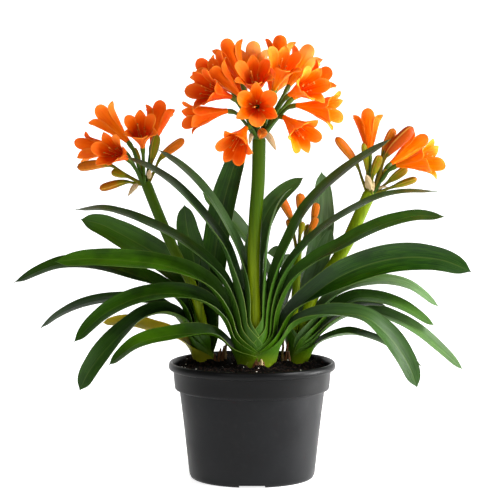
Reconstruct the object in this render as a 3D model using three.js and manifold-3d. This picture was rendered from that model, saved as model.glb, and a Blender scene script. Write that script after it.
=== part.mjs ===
// A flowering clivia in a round nursery pot: the pot, its soil, three leafy crowns, four flower
// stalks with their pedicels and buds, and every open bloom as a piece of its own.
// Millimetres, +Z up. The origin is the middle of the pot's flat base, and the plant's broad
// side faces -Y.
import * as THREE from 'three';
import { mergeVertices } from 'three/addons/utils/BufferGeometryUtils.js';
import Module from 'manifold-3d';

const wasm = await Module();
wasm.setup();

// ---------------------------------------------------------------- driving dimensions

const GAP = 0.3; // clearance between two pieces that touch

const POT = {
  rimRadius: 95, // outside of the rolled lip
  height: 133.3,
  lipHeight: 9,
  bandRadius: 89.2, // the wider band under the lip
  bandHeight: 30.8, // from the top of the lip to the foot of the band
  wallTopRadius: 82.6, // just under the band
  baseRadius: 71.8,
  wall: 2.2,
  floor: 3,
  facets: 30,
  drains: 4,
  drainWidth: 25,
  drainHeight: 3.4,
  drainInner: 52, // radius where each drain slot starts
};

const SOIL = { edgeHeight: 125, crownHeight: 127, holeFloor: 108, holeClearance: 2.6 };

const SHEATH = {
  foot: 110, // height of the leaf feet, on the basal plate down in the soil
  neck: 134, // height where a sheath has its full radius
  footScale: 0.85, // radius at the foot over radius at the neck
  reach: 38, // most that a sheath margin wraps round from its keel
  innerAngle: 0.95, // half angle that the innermost sheath clasps, in radians
  outerAngle: 1.38, // and the outermost
  keel: 1.0, // thickness at the keel
  margin: 0.65, // thickness at the margins
};

const BLADE = {
  troughRadius: 26, // of the shallow trough across the blade
  rib: 1.6, // thickness at the midrib
  margin: 0.9, // thickness at the margins
  neckWidth: 0.62, // width just above the sheath over full width
  // Where the sections above the sheath stand, as shares of the way to the tip.
  stations: [0.13, 0.26, 0.39, 0.52, 0.65, 0.77, 0.88, 0.96, 1],
};

// Crowns: middle of each fan of leaves, radius of the innermost sheath and step to the next.
const CROWNS = {
  main: { x: 5, y: 0, core: 8.5, pitch: 2.5, shells: 7, flat: 0.85 },
  left: { x: -53, y: 40, core: 7.8, pitch: 1.9, shells: 7, flat: 0.92 },
  right: { x: 53, y: 30, core: 10.2, pitch: 1.9, shells: 7, flat: 0.92 },
};

// Leaves: the crown, the shell that the sheath fills (0 is innermost), the side that the keel
// stands on (degrees round the crown, 0 is +X, 90 the back), the blade's width, its turn about
// its own length (degrees, halfway and at the tip) and the line of its middle above the sheath.
const LEAVES = {
  leaf_main_l1: {
    crown: 'main', shell: 6, side: 180, width: 30, turn: [-25, -30],
    path: [[-34, -6, 160], [-59, -10, 167], [-93, -14, 166], [-130, -18, 157], [-162, -22, 132]],
  },
  leaf_main_l2: {
    crown: 'main', shell: 5, side: 180, width: 31, turn: [-28, -42],
    path: [[-33, -4, 184], [-54, -6, 203], [-88, -8, 213], [-128, -10, 209], [-168, -12, 190], [-202, -14, 157]],
  },
  leaf_main_l3: {
    crown: 'main', shell: 4, side: 180, width: 32, turn: [-28, -48],
    path: [[-32, -3, 197], [-53, -4, 225], [-88, -5, 242], [-139, -6, 250], [-185, -7, 252], [-223, -8, 248]],
  },
  leaf_main_l4: {
    crown: 'main', shell: 3, side: 180, width: 26, turn: [-18, -14],
    path: [[-26, -1, 212], [-47, -2, 244], [-79, -3, 272], [-122, -4, 294], [-162, -5, 308], [-200, -6, 307]],
  },
  leaf_main_l5: {
    crown: 'main', shell: 2, side: 180, width: 30, turn: [-12, -14],
    path: [[-15, -2, 203], [-21, -3, 231], [-33, -5, 269], [-59, -9, 307], [-99, -16, 346], [-141, -22, 368]],
  },
  leaf_main_l6: {
    crown: 'main', shell: 1, side: 180, width: 24, turn: [-18, -22],
    path: [[-7, -2, 180], [-6, -2, 214], [-11, -2, 250], [-26, -3, 287], [-54, -5, 331], [-82, -7, 359], [-106, -9, 375]],
  },
  leaf_main_r1: {
    crown: 'main', shell: 6, side: 0, width: 32, turn: [20, 80],
    path: [[40, -5, 168], [60, -8, 182], [95, -11, 190], [129, -15, 187], [157, -18, 163], [177, -21, 133], [187, -24, 106]],
  },
  leaf_main_r2: {
    crown: 'main', shell: 5, side: 0, width: 36, turn: [66, 78],
    path: [[40, -4, 182], [64, -6, 207], [100, -8, 232], [140, -10, 248], [180, -12, 254], [220, -14, 249], [248, -16, 237]],
  },
  leaf_main_r3: {
    crown: 'main', shell: 4, side: 0, width: 27, turn: [22, 38],
    path: [[35, -2, 206], [57, -3, 239], [95, -5, 264], [135, -7, 286], [180, -8, 300], [218, -10, 299]],
  },
  leaf_main_r4: {
    crown: 'main', shell: 3, side: 0, width: 23, turn: [12, 12],
    path: [[31, -2, 215], [48, -3, 250], [75, -5, 282], [112, -7, 307], [157, -8, 326], [209, -10, 328]],
  },
  leaf_main_r5: {
    crown: 'main', shell: 2, side: 0, width: 26, turn: [20, 22],
    path: [[25, -2, 222], [38, -3, 262], [56, -5, 303], [89, -7, 340], [123, -8, 366], [156, -10, 387]],
  },
  leaf_main_r6: {
    crown: 'main', shell: 1, side: 0, width: 18, turn: [0, 0],
    path: [[16, -3, 175], [15, -5, 205], [15, -6, 246], [19, -6, 282], [27, -6, 309], [37, -5, 325], [45, -4, 331]],
  },
  leaf_main_back: {
    crown: 'main', shell: 0, side: 75, width: 26, turn: [0, -10],
    path: [[5.6, 7.2, 165], [4, 13, 195], [1, 21, 236], [7, 23, 276], [20, 23, 307], [38, 22, 327], [59, 20, 342]],
  },
  leaf_left_1: {
    crown: 'left', shell: 6, side: 180, width: 26, turn: [-25, -30],
    path: [[-80, 41, 150], [-107, 43, 164], [-143, 45, 174], [-173, 44, 172]],
  },
  leaf_left_2: {
    crown: 'left', shell: 4, side: 180, width: 32, turn: [-20, -75],
    path: [[-74, 39, 166], [-90, 27, 184], [-118, 17, 187], [-146, 15, 169], [-173, 15, 140], [-187, 14, 120], [-198, 13, 97]],
  },
  leaf_left_3: {
    crown: 'left', shell: 5, side: 180, width: 26, turn: [-20, -20],
    path: [[-79, 41, 168], [-98, 43, 188], [-141, 45, 200], [-182, 44, 198], [-217, 42, 186], [-245, 40, 166]],
  },
  leaf_left_4: {
    crown: 'left', shell: 3, side: 180, width: 28, turn: [-30, -30],
    path: [[-71, 39, 165], [-79, 34, 192], [-99, 29, 213], [-132, 27, 229], [-177, 30, 242], [-223, 31, 242], [-274, 32, 220]],
  },
  leaf_left_5: {
    crown: 'left', shell: 2, side: 180, width: 35, turn: [-70, -80],
    path: [[-66, 41, 165], [-67, 47, 187], [-74, 58, 211], [-86, 62, 229], [-108, 61, 248], [-148, 57, 272], [-177, 56, 286], [-199, 56, 291]],
  },
  leaf_left_6: {
    crown: 'left', shell: 1, side: 80, width: 32, turn: [0, 0],
    path: [[-49, 49, 165], [-48, 51, 190], [-46, 51, 221], [-41, 51, 268], [-34, 51, 308], [-23, 51, 347], [-10, 50, 384]],
  },
  leaf_left_7: {
    crown: 'left', shell: 0, side: 95, width: 33, turn: [0, 0],
    path: [[-53, 46, 165], [-56, 46, 190], [-62, 46, 221], [-69, 45, 254], [-75, 44, 282], [-78, 42, 309]],
  },
  leaf_right_1: {
    crown: 'right', shell: 6, side: 0, width: 24, turn: [10, 15],
    path: [[82, 25, 151], [108, 23, 162], [139, 22, 158], [169, 20, 143], [195, 18, 125]],
  },
  leaf_right_2: {
    crown: 'right', shell: 5, side: 0, width: 26, turn: [25, 30],
    path: [[83, 26, 164], [112, 25, 184], [146, 25, 186], [181, 24, 172], [214, 24, 147], [243, 23, 120]],
  },
  leaf_right_3: {
    crown: 'right', shell: 4, side: 0, width: 20, turn: [20, 20],
    path: [[78, 28, 164], [95, 28, 182], [115, 28, 193], [135, 28, 197], [153, 28, 194]],
  },
  leaf_right_4: {
    crown: 'right', shell: 3, side: 0, width: 26, turn: [25, 30],
    path: [[74, 28, 165], [88, 27, 184], [108, 26, 199], [128, 26, 205], [169, 26, 196], [210, 26, 171]],
  },
  leaf_right_5: {
    crown: 'right', shell: 2, side: 0, width: 26, turn: [20, 25],
    path: [[72, 29, 172], [88, 29, 199], [112, 30, 216], [147, 31, 223], [181, 32, 217], [215, 32, 192]],
  },
  leaf_right_6: {
    crown: 'right', shell: 1, side: 95, width: 29, turn: [0, 0],
    path: [[52, 43, 165], [57, 48, 185], [67, 51, 215], [76, 52, 250], [82, 51, 291], [82, 49, 323], [80, 47, 347]],
  },
  leaf_right_7: {
    crown: 'right', shell: 0, side: 80, width: 24, turn: [0, 0],
    path: [[56, 39, 165], [60, 41, 185], [68, 42, 216], [77, 41, 242], [85, 40, 262], [91, 39, 281]],
  },
  leaf_right_8: {
    crown: 'right', shell: 2, side: 180, width: 22, turn: [-14, -80],
    path: [[38, 31, 165], [36, 37, 192], [41, 41, 218], [40, 43, 240], [31, 42, 254], [17, 40, 253]],
  },
  leaf_right_9: {
    crown: 'right', shell: 3, side: 180, width: 27, turn: [-15, -60],
    path: [[34, 32, 165], [30, 42, 192], [24, 52, 214], [13, 60, 240], [-4, 66, 267], [-28, 72, 296], [-58, 76, 321]],
  },
};

// Flower stalks: radius at the foot and at the top, how flat, and the line from foot to top.
const STALKS = {
  main: {
    crown: 'main', radii: [6.4, 7.6], flat: 0.75,
    path: [[5, 0, 110], [4, 0, 179], [2, -1, 220], [2, -2, 260], [4, -2, 300], [7, -3, 340], [8, -4, 390]],
  },
  left: {
    crown: 'left', radii: [5.2, 6.2], flat: 0.8,
    path: [[-53, 40, 110], [-54, 38, 152], [-59, 36, 181], [-70, 34, 218], [-88, 32, 254], [-107, 31, 298], [-122, 31, 336]],
  },
  right: {
    crown: 'right', radii: [5.4, 7.4], flat: 0.8,
    path: [[56, 30, 110], [57, 30, 150], [63, 29, 185], [76, 28, 216], [94, 29, 241], [108, 30, 264], [122, 32, 294], [136, 34, 325]],
  },
  young: {
    crown: 'right', radii: [4.2, 4.5], flat: 0.85,
    path: [[49, 31, 110], [49, 30, 164], [49, 28, 193], [51, 27, 222], [53, 27, 262]],
  },
};

// Blooms: the head, the place of the bloom's foot, the way that it faces and how far its petals
// have opened.
const BLOOM = {
  tube: 20, // foot to where the petals part
  footRadius: 2.6,
  tubeRadius: 7.5,
  sheet: 1.0, // petal thickness
};
const BLOOMS = {
  bloom_main_1: { head: 'main', foot: [6, -40, 424], faces: [-0.02, -1, 0.05], open: 0.93 },
  bloom_main_2: { head: 'main', foot: [5, -18, 434], faces: [-0.08, -0.78, 0.62], open: 0.8 },
  bloom_main_3: { head: 'main', foot: [-11, 2, 449], faces: [-0.36, 0.36, 0.86], open: 0.62 },
  bloom_main_4: { head: 'main', foot: [-24, -38, 435], faces: [-0.68, -0.7, 0.22], open: 0.84 },
  bloom_main_5: { head: 'main', foot: [-23, 27, 440], faces: [-0.68, 0.56, 0.47], open: 0.72 },
  bloom_main_6: { head: 'main', foot: [-28, -25, 419], faces: [-0.88, -0.38, -0.14], open: 0.56 },
  bloom_main_7: { head: 'main', foot: [-15, -8, 437], faces: [-0.66, -0.32, 0.68], open: 0.75 },
  bloom_main_8: { head: 'main', foot: [25, -4, 443], faces: [0.22, -0.68, 0.7], open: 0.74 },
  bloom_main_9: { head: 'main', foot: [28, 10, 450], faces: [0.08, 0.24, 0.97], open: 0.58 },
  bloom_main_10: { head: 'main', foot: [42, 26, 446], faces: [0.42, 0.6, 0.68], open: 0.72 },
  bloom_main_11: { head: 'main', foot: [42, -25, 437], faces: [0.54, -0.79, 0.26], open: 0.75 },
  bloom_main_12: { head: 'main', foot: [50, -15, 425], faces: [0.86, -0.4, -0.1], open: 0.74 },
  bloom_main_13: { head: 'main', foot: [46, 8, 432], faces: [0.77, 0.24, 0.54], open: 0.7 },
  bloom_main_14: { head: 'main', foot: [36, -31, 412], faces: [0.46, -0.74, -0.42], open: 0.74 },
  bloom_main_15: { head: 'main', foot: [-7, -34, 400], faces: [-0.28, -0.83, -0.44], open: 0.7 },
  bloom_main_16: { head: 'main', foot: [2, 18, 449], faces: [-0.02, 0.78, 0.62], open: 0.75 },
  bloom_main_17: { head: 'main', foot: [22, 38, 434], faces: [0.2, 0.8, 0.55], open: 0.85 },
  bloom_main_18: { head: 'main', foot: [-6, 32, 434], faces: [-0.34, 0.84, 0.42], open: 0.74 },
  bloom_left_1: { head: 'left', foot: [-142, 34, 382], faces: [-0.65, 0.4, 0.64], open: 0.66 },
  bloom_left_2: { head: 'left', foot: [-125, 26, 377], faces: [-0.02, -0.85, 0.54], open: 0.66 },
  bloom_left_3: { head: 'left', foot: [-115, 47, 378], faces: [0.16, 0.58, 0.79], open: 0.58 },
  bloom_left_4: { head: 'left', foot: [-143, 18, 364], faces: [-0.38, -0.88, 0.24], open: 0.68 },
  bloom_left_5: { head: 'left', foot: [-153, 34, 374], faces: [-0.86, 0.5, -0.02], open: 0.56 },
  bloom_right_1: { head: 'right', foot: [135, 40, 367], faces: [-0.03, 0.5, 0.86], open: 0.56 },
  bloom_right_2: { head: 'right', foot: [166, 28, 355], faces: [0.83, -0.5, 0.2], open: 0.8 },
  bloom_right_3: { head: 'right', foot: [160, 46, 356], faces: [0.74, 0.5, 0.46], open: 0.6 },
};

// Buds: the head, the bud's foot and tip, and its radius at the fattest.
const BUDS = [
  { head: 'left', foot: [-164, 26, 356], tip: [-200, 26, 353], radius: 5.2 },
  { head: 'left', foot: [-144, 28, 343], tip: [-161, 28, 348], radius: 4.2 },
  { head: 'left', foot: [-144, 32, 336], tip: [-175, 32, 328], radius: 4.4 },
  { head: 'left', foot: [-115, 40, 361], tip: [-109, 40, 390], radius: 4.6 },
  { head: 'left', foot: [-105, 38, 363], tip: [-78, 38, 385], radius: 4.8 },
  { head: 'left', foot: [-129, 44, 358], tip: [-136, 44, 375], radius: 2.6 },
  { head: 'right', foot: [120, 34, 356], tip: [96, 34, 387], radius: 4.8 },
  { head: 'right', foot: [132, 28, 348], tip: [127, 28, 381], radius: 3.2 },
  { head: 'right', foot: [151, 42, 369], tip: [163, 42, 397], radius: 5.0 },
  { head: 'right', foot: [154, 32, 367], tip: [184, 32, 399], radius: 6.5 },
  { head: 'right', foot: [138, 26, 344], tip: [146, 26, 367], radius: 4.6 },
  { head: 'right', foot: [147, 40, 335], tip: [155, 40, 350], radius: 3.4 },
  { head: 'right', foot: [158, 36, 337], tip: [178, 36, 352], radius: 4.6 },
  { head: 'right', foot: [163, 30, 331], tip: [189, 30, 340], radius: 3.8 },
  { head: 'main', foot: [10, -20, 391], tip: [12, -36, 396], radius: 5.0 },
  { head: 'young', foot: [45, 28, 293], tip: [30, 28, 323], radius: 4.6 },
  { head: 'young', foot: [56, 34, 300], tip: [55, 34, 323], radius: 5.0 },
  { head: 'young', foot: [70, 34, 292], tip: [74, 34, 312], radius: 4.2 },
  { head: 'young', foot: [66, 28, 279], tip: [74, 28, 296], radius: 3.8 },
  { head: 'young', foot: [55, 24, 276], tip: [58, 24, 291], radius: 3.2 },
  { head: 'young', foot: [61, 38, 272], tip: [65, 38, 287], radius: 3.2 },
  { head: 'young', foot: [47, 34, 276], tip: [41, 34, 293], radius: 3.6 },
];

// Bracts: the papery flaps that hang at a head, from root to tip.
const BRACTS = [
  { head: 'main', root: [12, -6, 388], tip: [28, -10, 374], width: 8 },
  { head: 'main', root: [4, -8, 388], tip: [-2, -12, 374], width: 5 },
  { head: 'left', root: [-126, 30, 335], tip: [-141, 28, 321], width: 7 },
  { head: 'left', root: [-118, 28, 338], tip: [-116, 24, 352], width: 6 },
  { head: 'right', root: [134, 30, 326], tip: [127, 22, 345], width: 11.5 },
  { head: 'right', root: [139, 34, 326], tip: [156, 30, 330], width: 6 },
];

const PEDICEL = { radius: 1.6, ovaryRadius: 3.3, ovaryLength: 11, sides: 4, sink: 3 };
const PLATE_THICKNESS = 1.6; // basal plate that the sheaths stand on

// ---------------------------------------------------------------- materials

const material = (color, roughness) => new THREE.MeshStandardMaterial({ color, roughness, metalness: 0 });
const potPlastic = () => material(0x3a3c3e, 0.45);
const pottingSoil = () => material(0x2a211b, 1.0);
const leafGreen = () => material(0x24501c, 0.4);
const stalkGreen = () => material(0x6f8f22, 0.5);
const petalOrange = () => material(0xf26a14, 0.5);

// ---------------------------------------------------------------- small geometry helpers

const vec = (p) => new THREE.Vector3(p[0], p[1], p[2]);
const curveThrough = (points) => new THREE.CatmullRomCurve3(points, false, 'centripetal');
const smooth = (from, to, x) => THREE.MathUtils.smoothstep(x, from, to);
const mix = THREE.MathUtils.lerp;

// A closed body from points and triangles, its faces turned outwards.
function closedBody(points, triangles) {
  let volume = 0;
  for (const [a, b, c] of triangles) {
    volume += points[a].dot(points[b].clone().cross(points[c]));
  }
  const geometry = new THREE.BufferGeometry();
  geometry.setAttribute('position', new THREE.Float32BufferAttribute(points.flatMap((p) => p.toArray()), 3));
  geometry.setIndex(triangles.flatMap(([a, b, c]) => (volume < 0 ? [a, c, b] : [a, b, c])));
  return geometry;
}

function toSolid(geometry) {
  const bare = geometry.clone();
  bare.deleteAttribute('normal');
  bare.deleteAttribute('uv');
  const merged = mergeVertices(bare, 1e-4);
  return new wasm.Manifold(new wasm.Mesh({
    numProp: 3,
    vertProperties: new Float32Array(merged.attributes.position.array),
    triVerts: new Uint32Array(merged.index.array),
  }));
}

function toGeometry(solid) {
  const mesh = solid.getMesh();
  const geometry = new THREE.BufferGeometry();
  geometry.setAttribute('position', new THREE.Float32BufferAttribute(mesh.vertProperties, 3));
  geometry.setIndex(Array.from(mesh.triVerts));
  return geometry;
}

// The joined pieces as one body; a scrap that hangs loose is dropped.
function fuse(geometries) {
  const joined = geometries.map(toSolid).reduce((sum, next) => sum.add(next));
  const bodies = joined.decompose().sort((a, b) => b.volume() - a.volume());
  return toGeometry(bodies[0]);
}

function cut(geometry, tools) {
  return toGeometry(tools.map(toSolid).reduce((rest, tool) => rest.subtract(tool), toSolid(geometry)));
}

// A round limb along a curve: radiusAt gives its radius from 0 at the foot to 1 at the end.
function limb(curve, radiusAt, { sides, steps, flat = 1 }) {
  const points = [];
  const triangles = [];
  let across = null;
  for (let i = 0; i <= steps; i += 1) {
    const t = i / steps;
    const middle = curve.getPointAt(t);
    const along = curve.getTangentAt(t);
    across = across ?? new THREE.Vector3(1, 0, 0);
    across.addScaledVector(along, -across.dot(along)).normalize();
    const depth = along.clone().cross(across);
    for (let j = 0; j < sides; j += 1) {
      const angle = (2 * Math.PI * j) / sides;
      points.push(middle.clone()
        .addScaledVector(across, radiusAt(t) * Math.cos(angle))
        .addScaledVector(depth, radiusAt(t) * flat * Math.sin(angle)));
    }
  }
  for (let i = 0; i < steps; i += 1) {
    for (let j = 0; j < sides; j += 1) {
      const a = i * sides + j;
      const b = i * sides + ((j + 1) % sides);
      triangles.push([a, b, b + sides], [a, b + sides, a + sides]);
    }
  }
  const last = steps * sides;
  for (let j = 1; j < sides - 1; j += 1) {
    triangles.push([0, j + 1, j], [last, last + j, last + j + 1]);
  }
  return closedBody(points, triangles);
}

// A value read off a list of [place, value] pairs, with straight runs between them.
function along(profile, t) {
  const next = profile.findIndex(([place]) => place >= t);
  if (next <= 0) return profile[next === 0 ? 0 : profile.length - 1][1];
  const [[t0, v0], [t1, v1]] = [profile[next - 1], profile[next]];
  return mix(v0, v1, (t - t0) / (t1 - t0));
}

// ---------------------------------------------------------------- pot and soil

function potGeometry() {
  const bandFoot = POT.height - POT.bandHeight;
  const lipFoot = POT.height - POT.lipHeight;
  const { baseRadius: base, wallTopRadius: top, bandRadius: band, rimRadius: rim, wall } = POT;
  const outline = [
    [0, 0], [base - 5, 0], [base - 1.5, 1.5], [base, 5],
    [top, bandFoot - 1.5], [band - 2.5, bandFoot - 0.5], [band - 1, bandFoot + 1.5],
    [band + 0.8, lipFoot], [rim - 1, lipFoot + 0.5], [rim, lipFoot + 2.5], [rim - 0.6, POT.height - 1.5],
    [rim - 2.6, POT.height], [rim - 4.4, POT.height - 0.6], [band - 0.8, lipFoot + 1.5],
    [band - 1 - wall, bandFoot + 2.6], [top - wall, bandFoot + 0.4],
    [base - wall, 6], [base - 5, POT.floor], [0, POT.floor],
  ];
  const body = new THREE.LatheGeometry(outline.map(([r, z]) => new THREE.Vector2(r, z)), POT.facets);
  body.rotateX(Math.PI / 2);
  const slotLength = POT.rimRadius - POT.drainInner;
  const slots = Array.from({ length: POT.drains }, (_, i) => {
    const slot = new THREE.BoxGeometry(slotLength, POT.drainWidth, 2 * POT.drainHeight);
    slot.translate(POT.drainInner + slotLength / 2, 0, 0);
    slot.rotateZ((2 * Math.PI * i) / POT.drains - Math.PI / 2);
    return slot;
  });
  return cut(body, slots);
}

// The plain hole in the soil that a crown stands in.
function crownHole(crown) {
  const radius = sheathRadius(crown, crown.shells - 1) + SOIL.holeClearance;
  const hole = new THREE.CylinderGeometry(radius, radius * 0.92, 2 * (SOIL.crownHeight - SOIL.holeFloor), 16);
  hole.rotateX(Math.PI / 2);
  hole.scale(1, crown.flat, 1);
  hole.translate(crown.x, crown.y, SOIL.holeFloor + (SOIL.crownHeight - SOIL.holeFloor));
  return hole;
}

function soilGeometry() {
  const bandFoot = POT.height - POT.bandHeight;
  const inner = (r) => r - POT.wall - GAP * 1.3;
  const outline = [
    [0, POT.floor + GAP], [POT.baseRadius - 5 - GAP, POT.floor + GAP], [inner(POT.baseRadius), 6.5],
    [inner(POT.wallTopRadius), bandFoot + 0.7], [inner(POT.bandRadius - 1), bandFoot + 3],
    [inner(POT.bandRadius + 0.5), SOIL.edgeHeight - 1], [POT.bandRadius - 5, SOIL.edgeHeight],
    [66, SOIL.edgeHeight + 3.6], [40, SOIL.crownHeight], [0, SOIL.crownHeight + 0.6],
  ];
  const body = new THREE.LatheGeometry(outline.map(([r, z]) => new THREE.Vector2(r, z)), POT.facets);
  body.rotateX(Math.PI / 2);
  return cut(body, Object.values(CROWNS).map(crownHole));
}

// ---------------------------------------------------------------- leaves

function sheathRadius(crown, shell) {
  return crown.core + crown.pitch * shell;
}

// The line of a leaf's middle: up its shell from the basal plate, then out along its path.
function leafLine(leaf, crown) {
  const radius = sheathRadius(crown, leaf.shell);
  const flat = mix(1, crown.flat, leaf.shell / (crown.shells - 1));
  const side = THREE.MathUtils.degToRad(leaf.side);
  const onShell = (scale, z) => new THREE.Vector3(
    crown.x + scale * radius * Math.cos(side),
    crown.y + scale * radius * flat * Math.sin(side),
    z,
  );
  const feet = [onShell(SHEATH.footScale, SHEATH.foot), onShell(1, SHEATH.neck)];
  return curveThrough([...feet, ...leaf.path.map(vec)]);
}

// A leaf: a sheath that clasps the crown, opening into a shallow trough that ends in a point.
function leafGeometry(leaf) {
  const crown = CROWNS[leaf.crown];
  const line = leafLine(leaf, crown);
  const length = line.getLength();
  const side = THREE.MathUtils.degToRad(leaf.side);
  const level = new THREE.Vector3(-Math.sin(side), Math.cos(side), 0);
  const radius = sheathRadius(crown, leaf.shell);
  const flat = mix(1, crown.flat, leaf.shell / (crown.shells - 1));
  const faceOn = Math.abs(Math.sin(side));
  const clasp = mix(SHEATH.innerAngle, SHEATH.outerAngle, leaf.shell / (crown.shells - 1));
  const sheathAngle = Math.min(clasp, SHEATH.reach / radius);
  // Inner leaves clasp one another higher up than outer ones.
  const sheathTop = mix(56, 30, leaf.shell / (crown.shells - 1));
  const bladeAngle = leaf.width / (2 * BLADE.troughRadius);

  const grid = [];
  const thickness = [];
  for (const [distance, facets] of leafStations(length, sheathTop)) {
    const t = Math.min(1, distance / length);
    const middle = line.getPointAt(t);
    const tangent = line.getTangentAt(t);
    const open = smooth(sheathTop * 0.35, sheathTop + 28, distance);
    const level0 = level.clone().addScaledVector(tangent, -level.dot(tangent)).normalize();
    const inward0 = tangent.clone().cross(level0);
    const turnAngle = THREE.MathUtils.degToRad(
      t < 0.55 ? leaf.turn[0] * smooth(0.12, 0.5, t) : mix(leaf.turn[0], leaf.turn[1], (t - 0.55) / 0.45),
    );
    const across = level0.clone().multiplyScalar(Math.cos(turnAngle))
      .addScaledVector(inward0, Math.sin(turnAngle));
    const inward = tangent.clone().cross(across);

    const scale = mix(SHEATH.footScale, 1, Math.min(1, distance / (SHEATH.neck - SHEATH.foot)));
    const shellIn = radius * scale * mix(1, flat, faceOn);
    const shellAcross = radius * scale * mix(flat, 1, faceOn);
    const depthRadius = mix(shellIn, BLADE.troughRadius, open);
    const acrossRadius = mix(shellAcross, BLADE.troughRadius, open);
    const widthShare = bladeWidth(t) * mix(1, mix(BLADE.neckWidth, 1, smooth(0.15, 0.5, t)), open);
    const halfAngle = mix(sheathAngle, bladeAngle, open) * widthShare;
    const sink = open * depthRadius * (1 - Math.cos(halfAngle)) * 0.5;

    const row = [];
    const rowThickness = [];
    for (let j = 0; j <= facets; j += 1) {
      const u = (2 * j) / facets - 1;
      const angle = u * halfAngle;
      row.push(middle.clone()
        .addScaledVector(inward, depthRadius * (1 - Math.cos(angle)) - sink)
        .addScaledVector(across, acrossRadius * Math.sin(angle)));
      rowThickness.push(mix(
        mix(SHEATH.keel, SHEATH.margin, Math.abs(u)),
        mix(BLADE.rib, BLADE.margin, Math.abs(u)),
        open,
      ));
    }
    grid.push(row);
    thickness.push(rowThickness);
  }
  return sheet(grid, thickness);
}

// Half width along the blade, as a share of its widest: parallel sides, then a drawn-out point.
function bladeWidth(t) {
  const q = Math.max(0, (t - 0.66) / 0.34);
  return Math.max(0.07, (1 - q ** 2.4) ** 0.75);
}

// Sections along a leaf: the distance of each, and how many facets it has across. The sheath
// has four and the blade two, which meet at the midrib.
function leafStations(length, sheathTop) {
  const neck = sheathTop + 14;
  return [
    [0, 4], [SHEATH.neck - SHEATH.foot, 4], [neck, 4],
    ...BLADE.stations.map((share) => [neck + (length - neck) * share, 2]),
  ];
}

// A thin closed sheet about rows of points, split into triangles alike on both faces. A row has
// as many points as the row before it, or half as many facets.
function sheet(grid, thickness) {
  const rows = grid.length;
  const inRow = (i, u) => {
    const row = grid[Math.min(rows - 1, Math.max(0, i))];
    const place = Math.min(1, Math.max(0, u)) * (row.length - 1);
    const low = Math.floor(place);
    return row[low].clone().lerp(row[Math.min(low + 1, row.length - 1)], place - low);
  };
  const points = [];
  const front = grid.map(() => []);
  const back = grid.map(() => []);
  for (let i = 0; i < rows; i += 1) {
    const facets = grid[i].length - 1;
    for (let j = 0; j <= facets; j += 1) {
      const downLength = inRow(i + 1, j / facets).sub(inRow(i - 1, j / facets));
      const acrossWidth = inRow(i, (j + 1) / facets).sub(inRow(i, (j - 1) / facets));
      const normal = acrossWidth.cross(downLength).normalize();
      front[i].push(points.push(grid[i][j].clone().addScaledVector(normal, thickness[i][j] / 2)) - 1);
      back[i].push(points.push(grid[i][j].clone().addScaledVector(normal, -thickness[i][j] / 2)) - 1);
    }
  }
  const triangles = [];
  for (const [face, flip] of [[front, false], [back, true]]) {
    const add = (a, b, c) => triangles.push(flip ? [a, c, b] : [a, b, c]);
    for (let i = 0; i < rows - 1; i += 1) {
      const [near, far] = [face[i], face[i + 1]];
      const step = (near.length - 1) / (far.length - 1);
      for (let j = 0; j < far.length - 1; j += 1) {
        const k = j * step;
        add(near[k], near[k + 1], far[j + 1]);
        add(near[k], far[j + 1], far[j]);
        if (step === 2) add(near[k + 1], near[k + 2], far[j + 1]);
      }
    }
  }
  const edge = (a, b, c, d) => triangles.push([a, b, c], [a, c, d]);
  for (let i = 0; i < rows - 1; i += 1) {
    edge(front[i][0], front[i + 1][0], back[i + 1][0], back[i][0]);
    edge(front[i].at(-1), back[i].at(-1), back[i + 1].at(-1), front[i + 1].at(-1));
  }
  for (const [i, flip] of [[0, false], [rows - 1, true]]) {
    for (let j = 0; j < grid[i].length - 1; j += 1) {
      const [a, b, c, d] = [front[i][j], back[i][j], back[i][j + 1], front[i][j + 1]];
      if (flip) edge(a, d, c, b);
      else edge(a, b, c, d);
    }
  }
  return closedBody(points, triangles);
}

// ---------------------------------------------------------------- stalks, pedicels and buds

function basalPlate(crown) {
  const radius = (sheathRadius(crown, crown.shells - 1)) * SHEATH.footScale;
  const top = SHEATH.foot - GAP - SHEATH.keel / 2;
  const foot = SOIL.holeFloor + GAP;
  const plate = new THREE.CylinderGeometry(radius, radius * 0.96, top - foot, 14);
  plate.rotateX(Math.PI / 2);
  plate.scale(1, crown.flat, 1);
  plate.translate(crown.x, crown.y, (top + foot) / 2);
  return plate;
}

function stalkGeometry(stalk) {
  const foot = vec(stalk.path[0]);
  foot.z = SOIL.holeFloor + GAP + 0.5;
  const curve = curveThrough([foot, ...stalk.path.slice(1).map(vec)]);
  const radiusAt = (t) => mix(stalk.radii[0], stalk.radii[1], smooth(0, 0.8, t));
  return limb(curve, radiusAt, { sides: 8, steps: 7, flat: stalk.flat });
}

// Where a bloom's or bud's pedicel springs from its stalk: just inside the rim of the stalk's
// top, on the side that it leans to.
function pedicelRoot({ head, foot }) {
  const { path, radii } = STALKS[head];
  const top = vec(path[path.length - 1]);
  const lean = vec(foot).sub(top).setZ(0).normalize();
  return top.addScaledVector(lean, radii[1] * 0.45).add(new THREE.Vector3(0, 0, -PEDICEL.sink));
}

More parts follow.
